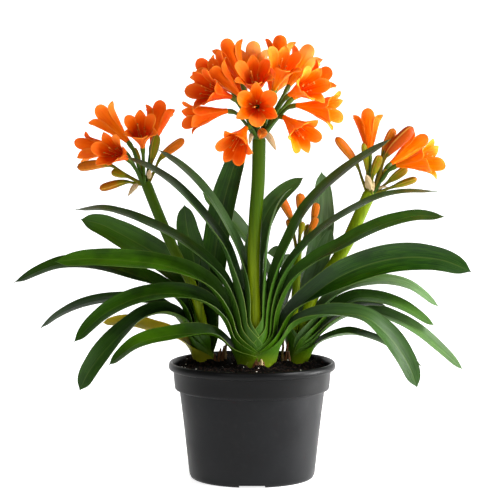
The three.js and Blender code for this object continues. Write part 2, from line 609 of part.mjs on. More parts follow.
function pedicelGeometry(bloom) {
  const root = pedicelRoot(bloom);
  const faces = vec(bloom.faces).normalize();
  const foot = vec(bloom.foot);
  const seat = foot.clone().addScaledVector(faces, -GAP);
  const ovaryFoot = seat.clone().addScaledVector(faces, -PEDICEL.ovaryLength);
  const curve = curveThrough([root, root.clone().lerp(ovaryFoot, 0.5), ovaryFoot, seat]);
  const ovaryStart = 1 - PEDICEL.ovaryLength / curve.getLength();
  const profile = [
    [0, PEDICEL.radius * 1.3], [ovaryStart, PEDICEL.radius],
    [mix(ovaryStart, 1, 0.4), PEDICEL.ovaryRadius], [mix(ovaryStart, 1, 0.7), PEDICEL.ovaryRadius],
    [1, BLOOM.footRadius - 0.2],
  ];
  return limb(curve, (t) => along(profile, t), { sides: PEDICEL.sides, steps: 5 });
}

function budGeometry(bud) {
  const root = pedicelRoot(bud);
  const foot = vec(bud.foot);
  const tip = vec(bud.tip);
  const curve = curveThrough([root, root.clone().lerp(foot, 0.5), foot, tip]);
  const footAt = 1 - foot.distanceTo(tip) / curve.getLength();
  const profile = [
    [0, PEDICEL.radius * 1.3], [footAt * 0.8, PEDICEL.radius], [footAt, PEDICEL.radius * 1.3],
    [mix(footAt, 1, 0.4), bud.radius * 0.85], [mix(footAt, 1, 0.7), bud.radius], [1, bud.radius * 0.35],
  ];
  return limb(curve, (t) => along(profile, t), { sides: PEDICEL.sides, steps: 6 });
}

function bractGeometry(bract) {
  const root = vec(bract.root);
  const tip = vec(bract.tip);
  const curve = curveThrough([root, root.clone().lerp(tip, 0.5).add(new THREE.Vector3(0, -1, 1)), tip]);
  const profile = [[0, 0.3], [0.4, 0.5], [1, 0.1]];
  return limb(curve, (t) => along(profile, t) * bract.width, { sides: 4, steps: 3, flat: 0.25 });
}

// Everything that is one body with a crown's stalks.
function stemGeometry(crownName) {
  const heads = Object.keys(STALKS).filter((name) => STALKS[name].crown === crownName);
  const grows = (piece) => heads.includes(piece.head);
  return fuse([
    basalPlate(CROWNS[crownName]),
    ...heads.map((name) => stalkGeometry(STALKS[name])),
    ...Object.values(BLOOMS).filter(grows).map(pedicelGeometry),
    ...BUDS.filter(grows).map(budGeometry),
    ...BRACTS.filter(grows).map(bractGeometry),
  ]);
}

// ---------------------------------------------------------------- blooms

// A trumpet of six petals joined in a short tube: three narrow outer ones that bend back more,
// and three broad inner ones. Radius, height and half angle of a petal at each of its stations.
const PETALS = {
  outer: [[16.5, 36, 28], [22.5, 44, 22], [27, 48.5, 0]],
  inner: [[15.5, 37, 29], [20.5, 46, 26], [23.5, 52, 0]],
};

function bloomGeometry(bloom) {
  const points = [];
  const triangles = [];
  const sector = Math.PI / 6;
  const put = (radius, z, angle) => {
    points.push(new THREE.Vector3(radius * Math.cos(angle), radius * Math.sin(angle), z));
    return points.length - 1;
  };
  // A pair of points, one on each face of the sheet, square to the profile's slope there.
  const pair = (radius, z, angle, slope) => {
    const half = BLOOM.sheet / 2;
    const outside = put(radius + half * Math.cos(slope), z - half * Math.sin(slope), angle);
    const inside = put(radius - half * Math.cos(slope), z + half * Math.sin(slope), angle);
    return [outside, inside];
  };
  const slopeOf = ([r0, z0], [r1, z1]) => Math.atan2(r1 - r0, z1 - z0);

  const foot = Array.from({ length: 12 }, (_, i) => put(BLOOM.footRadius, 0, i * sector));
  const apex = put(0, BLOOM.tube * 0.35, 0);
  const throatSlope = 0.35;
  const throat = Array.from(
    { length: 12 },
    (_, i) => pair(BLOOM.tubeRadius, BLOOM.tube, i * sector, throatSlope),
  );
  for (let i = 0; i < 12; i += 1) {
    const next = (i + 1) % 12;
    triangles.push([foot[i], foot[next], throat[next][0]], [foot[i], throat[next][0], throat[i][0]]);
    triangles.push([throat[i][1], throat[next][1], apex]);
    if (i > 0 && i < 11) triangles.push([foot[0], foot[i + 1], foot[i]]);
  }

  for (let petal = 0; petal < 6; petal += 1) {
    const stations = petal % 2 === 0 ? PETALS.inner : PETALS.outer;
    const middle = (2 * petal + 1) * sector;
    const rows = [[throat[2 * petal], throat[2 * petal + 1], throat[(2 * petal + 2) % 12]]];
    let before = [BLOOM.tubeRadius, BLOOM.tube];
    for (const [fullRadius, z, halfAngle] of stations) {
      const radius = mix(BLOOM.tubeRadius, fullRadius, bloom.open);
      const slope = slopeOf(before, [radius, z]);
      const half = THREE.MathUtils.degToRad(halfAngle);
      rows.push(half > 0
        ? [-half, 0, half].map((offset) => pair(radius, z, middle + offset, slope))
        : [pair(radius, z, middle, slope)]);
      before = [radius, z];
    }
    for (let i = 0; i < 2; i += 1) {
      for (const [side, flip] of [[0, false], [1, true]]) {
        for (let j = 0; j < 2; j += 1) {
          const [a, b, c, d] = [rows[i][j], rows[i][j + 1], rows[i + 1][j + 1], rows[i + 1][j]].map((p) => p[side]);
          triangles.push(...(flip ? [[a, c, b], [a, d, c]] : [[a, b, c], [a, c, d]]));
        }
      }
    }
    const [tip] = rows[3];
    for (let j = 0; j < 2; j += 1) {
      triangles.push([rows[2][j][0], rows[2][j + 1][0], tip[0]], [rows[2][j][1], tip[1], rows[2][j + 1][1]]);
    }
    for (let i = 0; i < 3; i += 1) {
      const left = [rows[i][0], i < 2 ? rows[i + 1][0] : tip];
      const right = [rows[i].at(-1), i < 2 ? rows[i + 1].at(-1) : tip];
      triangles.push([left[0][0], left[1][0], left[1][1]], [left[0][0], left[1][1], left[0][1]]);
      triangles.push([right[0][0], right[1][1], right[1][0]], [right[0][0], right[0][1], right[1][1]]);
    }
  }

  const geometry = closedBody(points, triangles);
  const faces = vec(bloom.faces).normalize();
  geometry.applyQuaternion(new THREE.Quaternion().setFromUnitVectors(new THREE.Vector3(0, 0, 1), faces));
  return geometry;
}

// ---------------------------------------------------------------- assembly

function piece(name, geometry, finish) {
  const mesh = new THREE.Mesh(geometry, finish);
  mesh.name = name;
  return mesh;
}

const clivia = new THREE.Group();
clivia.add(piece('pot', potGeometry(), potPlastic()));
clivia.add(piece('soil', soilGeometry(), pottingSoil()));

for (const crownName of Object.keys(CROWNS)) {
  clivia.add(piece(`stem_${crownName}`, stemGeometry(crownName), stalkGreen()));
}

for (const [name, leaf] of Object.entries(LEAVES)) {
  clivia.add(piece(name, leafGeometry(leaf), leafGreen()));
}

for (const [name, bloom] of Object.entries(BLOOMS)) {
  const mesh = piece(name, bloomGeometry(bloom), petalOrange());
  mesh.position.set(...bloom.foot);
  clivia.add(mesh);
}

export default clivia;
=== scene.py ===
"""A flowering clivia in a round nursery pot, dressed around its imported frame."""

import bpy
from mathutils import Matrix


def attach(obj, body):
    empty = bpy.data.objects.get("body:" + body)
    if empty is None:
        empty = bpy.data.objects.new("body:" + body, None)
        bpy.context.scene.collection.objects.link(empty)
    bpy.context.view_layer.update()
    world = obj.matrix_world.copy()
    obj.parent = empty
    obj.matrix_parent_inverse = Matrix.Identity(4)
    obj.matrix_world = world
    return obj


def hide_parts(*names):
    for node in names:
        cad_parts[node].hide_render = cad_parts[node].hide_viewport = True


bl_info = {
    "name": "Clivia in its pot",
    "version": (1, 0, 0),
    "blender": (4, 5, 0),
    "location": "3D View > Sidebar > Clivia",
    "description": "Builds the pot, soil, leaves, stalks and blooms of a clivia, and a studio for it",
    "category": "Object",
}

import math
import random
from bisect import bisect

import bmesh
import bpy
from bpy.props import FloatProperty, FloatVectorProperty, IntProperty, PointerProperty
from mathutils import Euler, Matrix, Vector, noise

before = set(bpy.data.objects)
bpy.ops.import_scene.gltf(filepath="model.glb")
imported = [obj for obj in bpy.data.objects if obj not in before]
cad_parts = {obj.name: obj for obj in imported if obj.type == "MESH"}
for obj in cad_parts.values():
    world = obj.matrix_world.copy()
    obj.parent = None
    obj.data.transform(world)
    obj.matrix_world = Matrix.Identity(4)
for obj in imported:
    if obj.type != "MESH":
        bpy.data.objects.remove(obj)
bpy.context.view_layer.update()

MM = 0.001

# Crowns: the middle of each fan of leaves, in mm.
CROWNS = {"main": (5, 0), "left": (-53, 40), "right": (53, 30)}
FOOT_GIRTH = {"main": 1.1, "left": 0.92, "right": 0.64}  # of a crown's foot, over the usual

# Leaves that aren't of the usual deep green: how fresh a green, and how much grey sheen is painted on them.
LEAF_TONES = {
    "leaf_main_l1": (0.8, 0.0), "leaf_main_l2": (0.25, 0.0), "leaf_main_l3": (0.6, 0.0),
    "leaf_main_l4": (0.15, 0.08), "leaf_main_l5": (0.05, 0.1), "leaf_main_l6": (0.1, 0.1),
    "leaf_main_r1": (0.1, 0.12), "leaf_main_r2": (0.0, 0.0), "leaf_main_r3": (0.25, 0.05),
    "leaf_main_r4": (0.15, 0.08), "leaf_main_r5": (0.3, 0.05), "leaf_main_r6": (0.5, 0.1),
    "leaf_main_back": (0.25, 0.12), "leaf_left_2": (0.2, 0.05), "leaf_left_3": (0.1, 0.15),
    "leaf_left_4": (0.4, 0.0), "leaf_left_5": (0.5, 0.0), "leaf_left_6": (0.1, 0.0),
    "leaf_left_7": (0.3, 0.0), "leaf_right_1": (0.3, 0.0), "leaf_right_2": (0.5, 0.28),
    "leaf_right_3": (0.55, 0.12), "leaf_right_4": (0.5, 0.08), "leaf_right_5": (0.45, 0.5),
    "leaf_right_6": (0.3, 0.45), "leaf_right_7": (0.4, 0.5), "leaf_right_8": (0.3, 0.35),
    "leaf_right_9": (0.15, 0.05),
}
OLD_LEAF = "leaf_left_1"

# Flower stalks, in mm: the crown, the radius at the foot and at the top, how flat, and the line.
STALKS = {
    "main": ("main", (6.4, 7.6), 0.75, [
        (5, 0, 110), (4, 0, 179), (2, -1, 220), (2, -2, 260), (4, -2, 300), (7, -3, 340), (8, -4, 390)]),
    "left": ("left", (5.2, 6.2), 0.8, [
        (-53, 40, 110), (-54, 38, 152), (-59, 36, 181), (-70, 34, 218), (-88, 32, 254), (-107, 31, 298),
        (-122, 31, 336)]),
    "right": ("right", (5.4, 7.4), 0.8, [
        (56, 30, 110), (57, 30, 150), (63, 29, 185), (76, 28, 216), (94, 29, 241), (108, 30, 264),
        (122, 32, 294), (136, 34, 325)]),
    "young": ("right", (4.2, 4.5), 0.85, [
        (49, 31, 110), (49, 30, 164), (49, 28, 193), (51, 27, 222), (53, 27, 262)]),
}

# Blooms: the head, the foot in mm, the way that it faces, how far it is open, and its warmth from
# deep red-orange (0) to yellow-orange (1), which is partly the bloom's own colour and partly painted
# light: the blooms on the lit right side are made lighter, those on the shaded left deeper.
BLOOMS = {
    "bloom_main_1": ("main", (6, -40, 424), (-0.02, -1, 0.05), 0.93, 0.50),
    "bloom_main_2": ("main", (5, -18, 434), (-0.08, -0.78, 0.62), 0.8, 0.30),
    "bloom_main_3": ("main", (-11, 2, 449), (-0.36, 0.36, 0.86), 0.62, 0.35),
    "bloom_main_4": ("main", (-24, -38, 435), (-0.68, -0.7, 0.22), 0.84, 0.10),
    "bloom_main_5": ("main", (-23, 27, 440), (-0.68, 0.56, 0.47), 0.72, 0.15),
    "bloom_main_6": ("main", (-28, -25, 419), (-0.88, -0.38, -0.14), 0.56, 0.35),
    "bloom_main_7": ("main", (-15, -8, 437), (-0.66, -0.32, 0.68), 0.75, 0.45),
    "bloom_main_8": ("main", (25, -4, 443), (0.22, -0.68, 0.7), 0.74, 0.95),
    "bloom_main_9": ("main", (28, 10, 450), (0.08, 0.24, 0.97), 0.58, 0.40),
    "bloom_main_10": ("main", (42, 26, 446), (0.42, 0.6, 0.68), 0.72, 1.20),
    "bloom_main_11": ("main", (42, -25, 437), (0.54, -0.79, 0.26), 0.75, 0.85),
    "bloom_main_12": ("main", (50, -15, 425), (0.86, -0.4, -0.1), 0.74, 1.05),
    "bloom_main_13": ("main", (46, 8, 432), (0.77, 0.24, 0.54), 0.7, 0.60),
    "bloom_main_14": ("main", (36, -31, 412), (0.46, -0.74, -0.42), 0.74, 0.80),
    "bloom_main_15": ("main", (-7, -34, 400), (-0.28, -0.83, -0.44), 0.7, 0.40),
    "bloom_main_16": ("main", (2, 18, 449), (-0.02, 0.78, 0.62), 0.75, 1.30),
    "bloom_main_17": ("main", (22, 38, 434), (0.2, 0.8, 0.55), 0.85, 0.50),
    "bloom_main_18": ("main", (-6, 32, 434), (-0.34, 0.84, 0.42), 0.74, 0.30),
    "bloom_left_1": ("left", (-142, 34, 382), (-0.65, 0.4, 0.64), 0.66, 0.60),
    "bloom_left_2": ("left", (-125, 26, 377), (-0.02, -0.85, 0.54), 0.66, 0.40),
    "bloom_left_3": ("left", (-115, 47, 378), (0.16, 0.58, 0.79), 0.58, 0.25),
    "bloom_left_4": ("left", (-143, 18, 364), (-0.38, -0.88, 0.24), 0.68, 0.35),
    "bloom_left_5": ("left", (-153, 34, 374), (-0.86, 0.5, -0.02), 0.56, 0.40),
    "bloom_right_1": ("right", (135, 40, 367), (-0.03, 0.5, 0.86), 0.56, 0.60),
    "bloom_right_2": ("right", (166, 28, 355), (0.83, -0.5, 0.2), 0.8, 0.85),
    "bloom_right_3": ("right", (160, 46, 356), (0.74, 0.5, 0.46), 0.6, 0.75),
}

# Buds: the head, the foot and the tip in mm, the radius at the fattest, and how ripe it is.
BUDS = [
    ("left", (-164, 26, 356), (-200, 26, 353), 5.2, 0.9),
    ("left", (-144, 28, 343), (-161, 28, 348), 4.2, 0.3),
    ("left", (-144, 32, 336), (-175, 32, 328), 4.4, 0.45),
    ("left", (-115, 40, 361), (-109, 40, 390), 4.6, 0.2),
    ("left", (-105, 38, 363), (-78, 38, 385), 4.8, 0.7),
    ("left", (-129, 44, 358), (-136, 44, 375), 2.6, 0.3),
    ("right", (120, 34, 356), (96, 34, 387), 4.8, 0.95),
    ("right", (132, 28, 348), (127, 28, 381), 3.2, 0.1),
    ("right", (151, 42, 369), (163, 42, 397), 5.0, 1.0),
    ("right", (154, 32, 367), (184, 32, 399), 6.5, 1.3),
    ("right", (138, 26, 344), (146, 26, 367), 4.6, 0.3),
    ("right", (147, 40, 335), (155, 40, 350), 3.4, 0.2),
    ("right", (158, 36, 337), (178, 36, 352), 4.6, 0.3),
    ("right", (163, 30, 331), (189, 30, 340), 3.8, 0.3),
    ("main", (10, -20, 391), (12, -36, 396), 5.0, 0.8),
    ("young", (45, 28, 293), (30, 28, 323), 4.6, 1.1),
    ("young", (56, 34, 300), (55, 34, 323), 5.0, 1.0),
    ("young", (70, 34, 292), (74, 34, 312), 4.2, 0.8),
    ("young", (66, 28, 279), (74, 28, 296), 3.8, 0.7),
    ("young", (55, 24, 276), (58, 24, 291), 3.2, 0.2),
    ("young", (61, 38, 272), (65, 38, 287), 3.2, 0.2),
    ("young", (47, 34, 276), (41, 34, 293), 3.6, 0.6),
]

# Bracts: the head, the root and the tip in mm, and the width.
BRACTS = [
    ("main", (15, -6, 396), (27, -9, 374), 8),
    ("main", (1, -9, 396), (-3, -12, 381), 5.5),
    ("left", (-130, 30, 335), (-142, 28, 320), 6.5),
    ("left", (-118, 28, 340), (-117, 24, 351), 6),
    ("right", (138, 29, 325), (130, 22, 345), 11.5),
    ("right", (142, 34, 327), (156, 30, 330), 3.5),
]

# Dry scales at the feet of the crowns, in mm: the line of each, its width, and how pale it is.
SCALES = [
    ([(0, -16.5, 121), (3, -19.5, 130), (6, -19, 139)], 5.5, 0.3),
    ([(3, -18, 120), (6, -20.5, 127), (4, -20, 134)], 5, 0.1),
    ([(7, -18, 120), (9, -20.5, 127), (8, -20, 135)], 5, 0.5),
    ([(10, -18, 127), (11, -20, 132), (10.5, -19.5, 138)], 3.6, 1.0),
    ([(12, -16, 120), (13.5, -19, 127), (12.5, -18, 135)], 4, 0.15),
    ([(-30, 28, 121), (-31, 26, 137), (-29, 28, 152)], 3.6, 0.5),
    ([(-33, 25, 121), (-34, 23, 134), (-32, 24, 148)], 3.4, 0.15),
    ([(-36, 23, 121), (-38, 21, 132), (-36, 22, 145)], 3.2, 0.3),
    ([(-40, 20, 121), (-42, 19, 130), (-43, 20, 139)], 3, 0.1),
    ([(36, 20, 121), (35, 17, 140), (37, 18, 160)], 3, 0.5),
    ([(39, 17, 121), (39, 14, 137), (41, 15, 153)], 3, 0.2),
    ([(43, 15, 121), (43, 13, 131), (42, 14, 143)], 2.6, 0.4),
]


def paint(red, green, blue):
    """A colour as the shader wants it, from the 0 to 255 values that a paint chart gives."""
    parts = [value / 255 for value in (red, green, blue)]
    return (*[p / 12.92 if p <= 0.04045 else ((p + 0.055) / 1.055) ** 2.4 for p in parts], 1.0)


def toned(colour, amount):
    """A colour made darker, or lighter where the amount is over 1."""
    return (*[part * amount for part in colour[:3]], 1.0)


# ---------------------------------------------------------------- settings

def length(name, description, millimetres):
    return FloatProperty(name=name, description=description, default=millimetres * MM, min=0, unit="LENGTH")


def share(name, description, default):
    return FloatProperty(name=name, description=description, default=default, min=0, max=1, subtype="FACTOR")


def factor(name, description, default):
    return FloatProperty(name=name, description=description, default=default, min=0, soft_max=2)


def count(name, description, default):
    return IntProperty(name=name, description=description, default=default, min=0)


def colour(name, description, *chart):
    return FloatVectorProperty(
        name=name, description=description, default=paint(*chart), size=4, min=0, max=1, subtype="COLOR")


class CliviaPotSettings(bpy.types.PropertyGroup):
    rim: length("Rim radius", "Outside of the rolled lip", 95)
    height: length("Height", "From the table to the top of the lip", 133.3)
    lip: length("Lip height", "Height of the rolled lip", 9)
    band: length("Band radius", "Outside of the wider band under the lip", 89.2)
    band_height: length("Band height", "From the top of the lip to the foot of the band", 30.8)
    wall_top: length("Wall radius at the top", "Outside of the wall just under the band", 82.6)
    base: length("Base radius", "Outside of the wall at the foot", 71.8)
    wall: length("Wall thickness", "Thickness of the moulded wall", 2.2)
    floor: length("Floor thickness", "Thickness of the floor", 3)
    drains: count("Drain slots", "Number of slots round the edge of the floor", 4)
    drain_width: length("Drain width", "Width of each slot", 29)
    drain_height: length("Drain height", "Height of each slot", 4.4)
    drain_start: length("Drain start", "Radius where each slot starts", 56)
    plastic: colour("Plastic", "Colour of the moulded plastic", 16, 17, 19)


class CliviaSoilSettings(bpy.types.PropertyGroup):
    edge: length("Height at the edge", "Top of the soil against the pot", 124)
    back: length("Rise", "How much higher the soil lies at the back", 5)
    crown: length("Height at the crowns", "Top of the soil in the middle", 126)
    clump: length("Clumps", "How far the surface rises and falls", 2.2)
    bank: length("Banks", "How far the soil is pushed up against the crowns", 6)
    bits: count("Bark bits", "Number of bits of bark and fibre on the surface", 1500)
    grit: count("White grit", "Number of pale grains on the surface", 26)
    peat: colour("Peat", "Colour of the damp soil", 8, 6, 4)
    bark: colour("Bark", "Colour of the driest bits of bark", 48, 31, 22)


class CliviaLeafSettings(bpy.types.PropertyGroup):
    rib: length("Midrib thickness", "Thickness at the midrib", 1.3)
    margin: length("Margin thickness", "Thickness at the margins", 0.5)
    wave: length("Waviness", "How far the margins rise and fall", 0.7)
    sheath: length("Sheath length", "Length of a leaf's foot that is built finest", 80)
    sheath_rows: count("Sheath rows", "Rows of faces along the sheath", 32)
    blade_rows: count("Blade rows", "Rows of faces along the blade", 60)
    wrap: FloatProperty(
        name="Wrap", description="How far a sheath's margins reach round the crown from its keel",
        default=math.radians(112), subtype="ANGLE")
    flat: share("Crown depth", "Depth of a crown over its width", 0.88)
    wing_outer: length("Outer sheath", "Height above its foot where the outermost sheath parts", 36)
    wing_inner: length("Inner sheath", "Height above its foot where the innermost sheath parts", 66)
    taper: factor("Taper", "Girth of the crowns at their feet over that of their solids", 0.8)
    neck: factor("Neck", "How much broader the necks of the leaves that face the front are", 0.35)
    wing_vary: length("Sheath variety", "How far the parting heights of like sheaths differ", 22)
    wing_rise: length("Sheath slope", "Half the height over which a sheath's margins part", 13)
    fold: FloatProperty(
        name="Fold", description="How far the two halves of a blade fold up near its foot",
        default=math.radians(30), subtype="ANGLE")
    twist: FloatProperty(
        name="Twist", description="How far the side leaves turn their upper faces to the front",
        default=math.radians(5), subtype="ANGLE")
    blade: colour("Blade", "Deep green of the upper side", 12, 46, 0)
    fresh: colour("Fresh green", "Green of the brightest leaves", 66, 110, 4)
    under: colour("Underside", "Greyer green of the underside", 58, 96, 26)
    foot: colour("Sheath", "Yellow-green of the sheaths at the crown", 128, 144, 6)
    # The grey-green of a painted sheen: a reflection of the light, painted on the leaves that catch it.
    painted_sheen: colour("Wax", "Grey bloom on the waxiest leaves", 138, 168, 124)
    # Pale line of the margins, which along the blades is also a painted highlight on the edges.
    pale: colour("Margins", "Pale line of the margins and midrib", 170, 192, 90)
    old: colour("Old leaf", "Yellow of a leaf that is dying back", 255, 212, 58)


class CliviaBloomSettings(bpy.types.PropertyGroup):
    tube: length("Tube", "From the foot to where the petals part", 20)
    foot_radius: length("Foot radius", "Radius where the bloom meets its ovary", 2.6)
    tube_radius: length("Tube radius", "Radius where the petals part", 7.5)
    inner_width: length("Inner petal", "Width of the three broad inner petals", 24.5)
    outer_width: length("Outer petal", "Width of the three narrow outer petals", 18.5)
    sheet: length("Petal thickness", "Thickness of a petal", 0.55)
    deep: colour("Deep petals", "Red-orange of the deepest blooms", 206, 60, 0)
    orange: colour("Orange petals", "Colour halfway from deep to light", 226, 92, 0)
    light: colour("Light petals", "Yellow-orange of the lightest blooms", 236, 122, 0)
    cream: colour("Cream petals", "Tips of the palest blooms", 246, 190, 120)
    tip: colour("Petal tips", "Pale margins and tips", 248, 146, 54)
    throat: colour("Throat", "Red-orange down in the throat", 206, 48, 0)
    filament: colour("Filaments", "Orange of filaments and styles", 246, 150, 56)
    anther: colour("Anthers", "Brown-yellow of the anthers", 130, 76, 18)


class CliviaStalkSettings(bpy.types.PropertyGroup):
    pedicel: length("Pedicel radius", "Radius of the stem of one bloom", 1.9)
    ovary: length("Ovary radius", "Radius of the ovary below a bloom", 3.1)
    ovary_length: length("Ovary length", "Length of the ovary below a bloom", 11)
    bud_girth: factor("Bud girth", "Girth of the buds over that in the list", 1.12)
    sink: length("Root depth", "How far below the stalk's top the pedicels join", 3)
    stalk: colour("Stalk", "Green of the flower stalks", 54, 82, 0)
    light: colour("Stalk edge", "Yellow-green of the stalks at the foot", 158, 180, 14)
    ovary_green: colour("Ovary", "Dark olive of pedicels and ovaries", 52, 84, 4)
    bud_tip: colour("Bud tip", "Orange-brown of a ripe bud", 190, 98, 10)
    bud_green: colour("Bud foot", "Yellow-green of an unripe bud", 110, 118, 6)
    paper: colour("Bract", "Cream of the papery bracts", 214, 190, 140)
    husk: colour("Scale", "Orange-brown of the dry scales", 116, 74, 36)


class CliviaStudioSettings(bpy.types.PropertyGroup):
    camera: FloatVectorProperty(
        name="Camera", description="Place of the camera",
        default=(-0.0023, -2.5, 0.489), subtype="TRANSLATION")
    down: FloatProperty(
        name="Looking down", description="Angle of the camera below level",
        default=math.radians(5.222), subtype="ANGLE")
    view: FloatProperty(
        name="Field of view", description="Angle that the camera takes in",
        default=math.radians(12.9), subtype="ANGLE")
    key: FloatProperty(name="Key light", description="Power of the main lamp", default=74, unit="POWER")
    fill: FloatProperty(name="Fill light", description="Power of the front lamp", default=12, unit="POWER")
    rim: FloatProperty(name="Side light", description="Power of the low side lamp", default=54, unit="POWER")
    sky: FloatProperty(
        name="Room light", description="Strength of the even light all round", default=0.13, min=0)
    paper: colour("Paper", "Colour of the floor and backdrop", 252, 252, 252)


class CliviaSettings(bpy.types.PropertyGroup):
    pot: PointerProperty(type=CliviaPotSettings)
    soil: PointerProperty(type=CliviaSoilSettings)
    leaf: PointerProperty(type=CliviaLeafSettings)
    bloom: PointerProperty(type=CliviaBloomSettings)
    stalk: PointerProperty(type=CliviaStalkSettings)
    studio: PointerProperty(type=CliviaStudioSettings)


# ---------------------------------------------------------------- lines and meshes

def mix(a, b, t):
    return a + (b - a) * t


def smooth(start, end, x):
    t = min(1.0, max(0.0, (x - start) / (end - start)))
    return t * t * (3 - 2 * t)


def read(profile, t):
    """A value read off a list of (place, value) pairs, with straight runs between them."""
    for (t0, v0), (t1, v1) in zip(profile, profile[1:]):
        if t <= t1:
            return mix(v0, v1, max(0.0, (t - t0) / (t1 - t0)))
    return profile[-1][1]


class Path:
    """A smooth line through points, read by the share of its length."""

    STEPS = 16

    def __init__(self, points):
        knots = [Vector(p) for p in points]
        knots = [2 * knots[0] - knots[1], *knots, 2 * knots[-1] - knots[-2]]
        self.points = []
        for span in zip(knots, knots[1:], knots[2:], knots[3:]):
            self.points += [self.between(span, step / self.STEPS) for step in range(self.STEPS)]
        self.points.append(knots[-2])
        self.marks = [0.0]
        for a, b in zip(self.points, self.points[1:]):
            self.marks.append(self.marks[-1] + (b - a).length)
        self.length = self.marks[-1]

    @staticmethod
    def between(span, t):
        a, b, c, d = span
        ta = 0.0
        tb = ta + (b - a).length ** 0.5
        tc = tb + (c - b).length ** 0.5
        td = tc + (d - c).length ** 0.5
        x = mix(tb, tc, t)
        ab = a.lerp(b, (x - ta) / (tb - ta))
        bc = b.lerp(c, (x - tb) / (tc - tb))
        cd = c.lerp(d, (x - tc) / (td - tc))
        abc = ab.lerp(bc, (x - ta) / (tc - ta))
        bcd = bc.lerp(cd, (x - tb) / (td - tb))
        return abc.lerp(bcd, (x - tb) / (tc - tb))

    def at(self, t):
        reach = min(1.0, max(0.0, t)) * self.length
        i = min(max(bisect(self.marks, reach) - 1, 0), len(self.points) - 2)
        run = self.marks[i + 1] - self.marks[i]
        return self.points[i].lerp(self.points[i + 1], (reach - self.marks[i]) / run if run else 0)

    def heading(self, t):
        step = 0.004
        return (self.at(min(1, t + step)) - self.at(max(0, t - step))).normalized()


def body(name, verts, faces, finish, fields=None, crease=50):
    """A mesh piece at the origin, with a number on each point for each named field."""
    mesh = bpy.data.meshes.new(name)
    mesh.from_pydata(verts, [], faces)
    for field, values in (fields or {}).items():
        mesh.attributes.new(field, "FLOAT", "POINT").data.foreach_set("value", values)
    mesh.materials.append(finish)
    mesh.shade_smooth()
    mesh.set_sharp_from_angle(angle=math.radians(crease))
    mesh.update()
    piece = bpy.data.objects.new(name, mesh)
    bpy.context.scene.collection.objects.link(piece)
    return piece


def finished(piece, slot, *nodes):
    """Puts a piece on the model, in place of the named solids."""
    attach(piece, "root")
    if nodes:
        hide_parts(*nodes)


def thicken(points, faces, thickness):
    """Both sides and the rim of a sheet, from the points of its middle. The front comes first."""
    normals = [Vector() for _ in points]
    rims = {}
    for face in faces:
        corners = [points[i] for i in face]
        normal = (corners[2] - corners[0]).cross(corners[-1] - corners[1])
        for i in face:
            normals[i] += normal
        for a, b in zip(face, face[1:] + face[:1]):
            rims[(a, b)] = True
    half = [n.normalized() * (t / 2) for n, t in zip(normals, thickness)]
    size = len(points)
    verts = [p + h for p, h in zip(points, half)] + [p - h for p, h in zip(points, half)]
    back = [[i + size for i in reversed(face)] for face in faces]
    edge = [[b, a, a + size, b + size] for a, b in rims if (b, a) not in rims]
    return verts, faces + back + edge


def grid_faces(rows, columns):
    """Faces of a grid of points that is stored row after row, facing across times along."""
    return [
        [i * columns + j, i * columns + j + 1, (i + 1) * columns + j + 1, (i + 1) * columns + j]
        for i in range(rows - 1) for j in range(columns - 1)
    ]


def loft(path, radius_at, sides, steps, flat=1.0, ridge=None):
    """A closed limb along a path. Returns its points, faces and the share of the way for each."""
    verts, places = [], []
    across = Vector((1, 0, 0))
    for i in range(steps + 1):
        t = i / steps
        middle, along = path.at(t), path.heading(t)
        across = (across - along * across.dot(along)).normalized()
        depth = along.cross(across)
        for j in range(sides):
            angle = 2 * math.pi * j / sides
            radius = radius_at(t) * (1 + (ridge(t) * math.cos(angle * 3) if ridge else 0))
            out = across * radius * math.cos(angle) + depth * radius * flat * math.sin(angle)
            verts.append(middle + out)
            places.append(t)
    faces = []
    for i in range(steps):
        for j in range(sides):
            a, b = i * sides + j, i * sides + (j + 1) % sides
            faces.append([a, b, b + sides, a + sides])
    faces.append(list(range(sides - 1, -1, -1)))
    faces.append([steps * sides + j for j in range(sides)])
    return verts, faces, places


class Gathered:
    """Several closed shapes collected into the points and faces of one piece."""

    def __init__(self):
        self.verts, self.faces, self.fields = [], [], {}

    def add(self, verts, faces, **fields):
        start = len(self.verts)
        self.verts += verts
        self.faces += [[i + start for i in face] for face in faces]
        for name, values in fields.items():
            self.fields.setdefault(name, []).extend(values)


# ---------------------------------------------------------------- node trees

def maker(tree):
    """A function that adds a node to a tree. An input takes a value or another node's socket."""
    def add(kind, inputs=None, **traits):
        made = tree.nodes.new(kind)
        for trait, value in traits.items():
            setattr(made, trait, value)
        for place, value in (inputs or {}).items():
            if isinstance(value, bpy.types.NodeSocket):
                tree.links.new(value, made.inputs[place])
            else:
                made.inputs[place].default_value = value
        return made
    return add


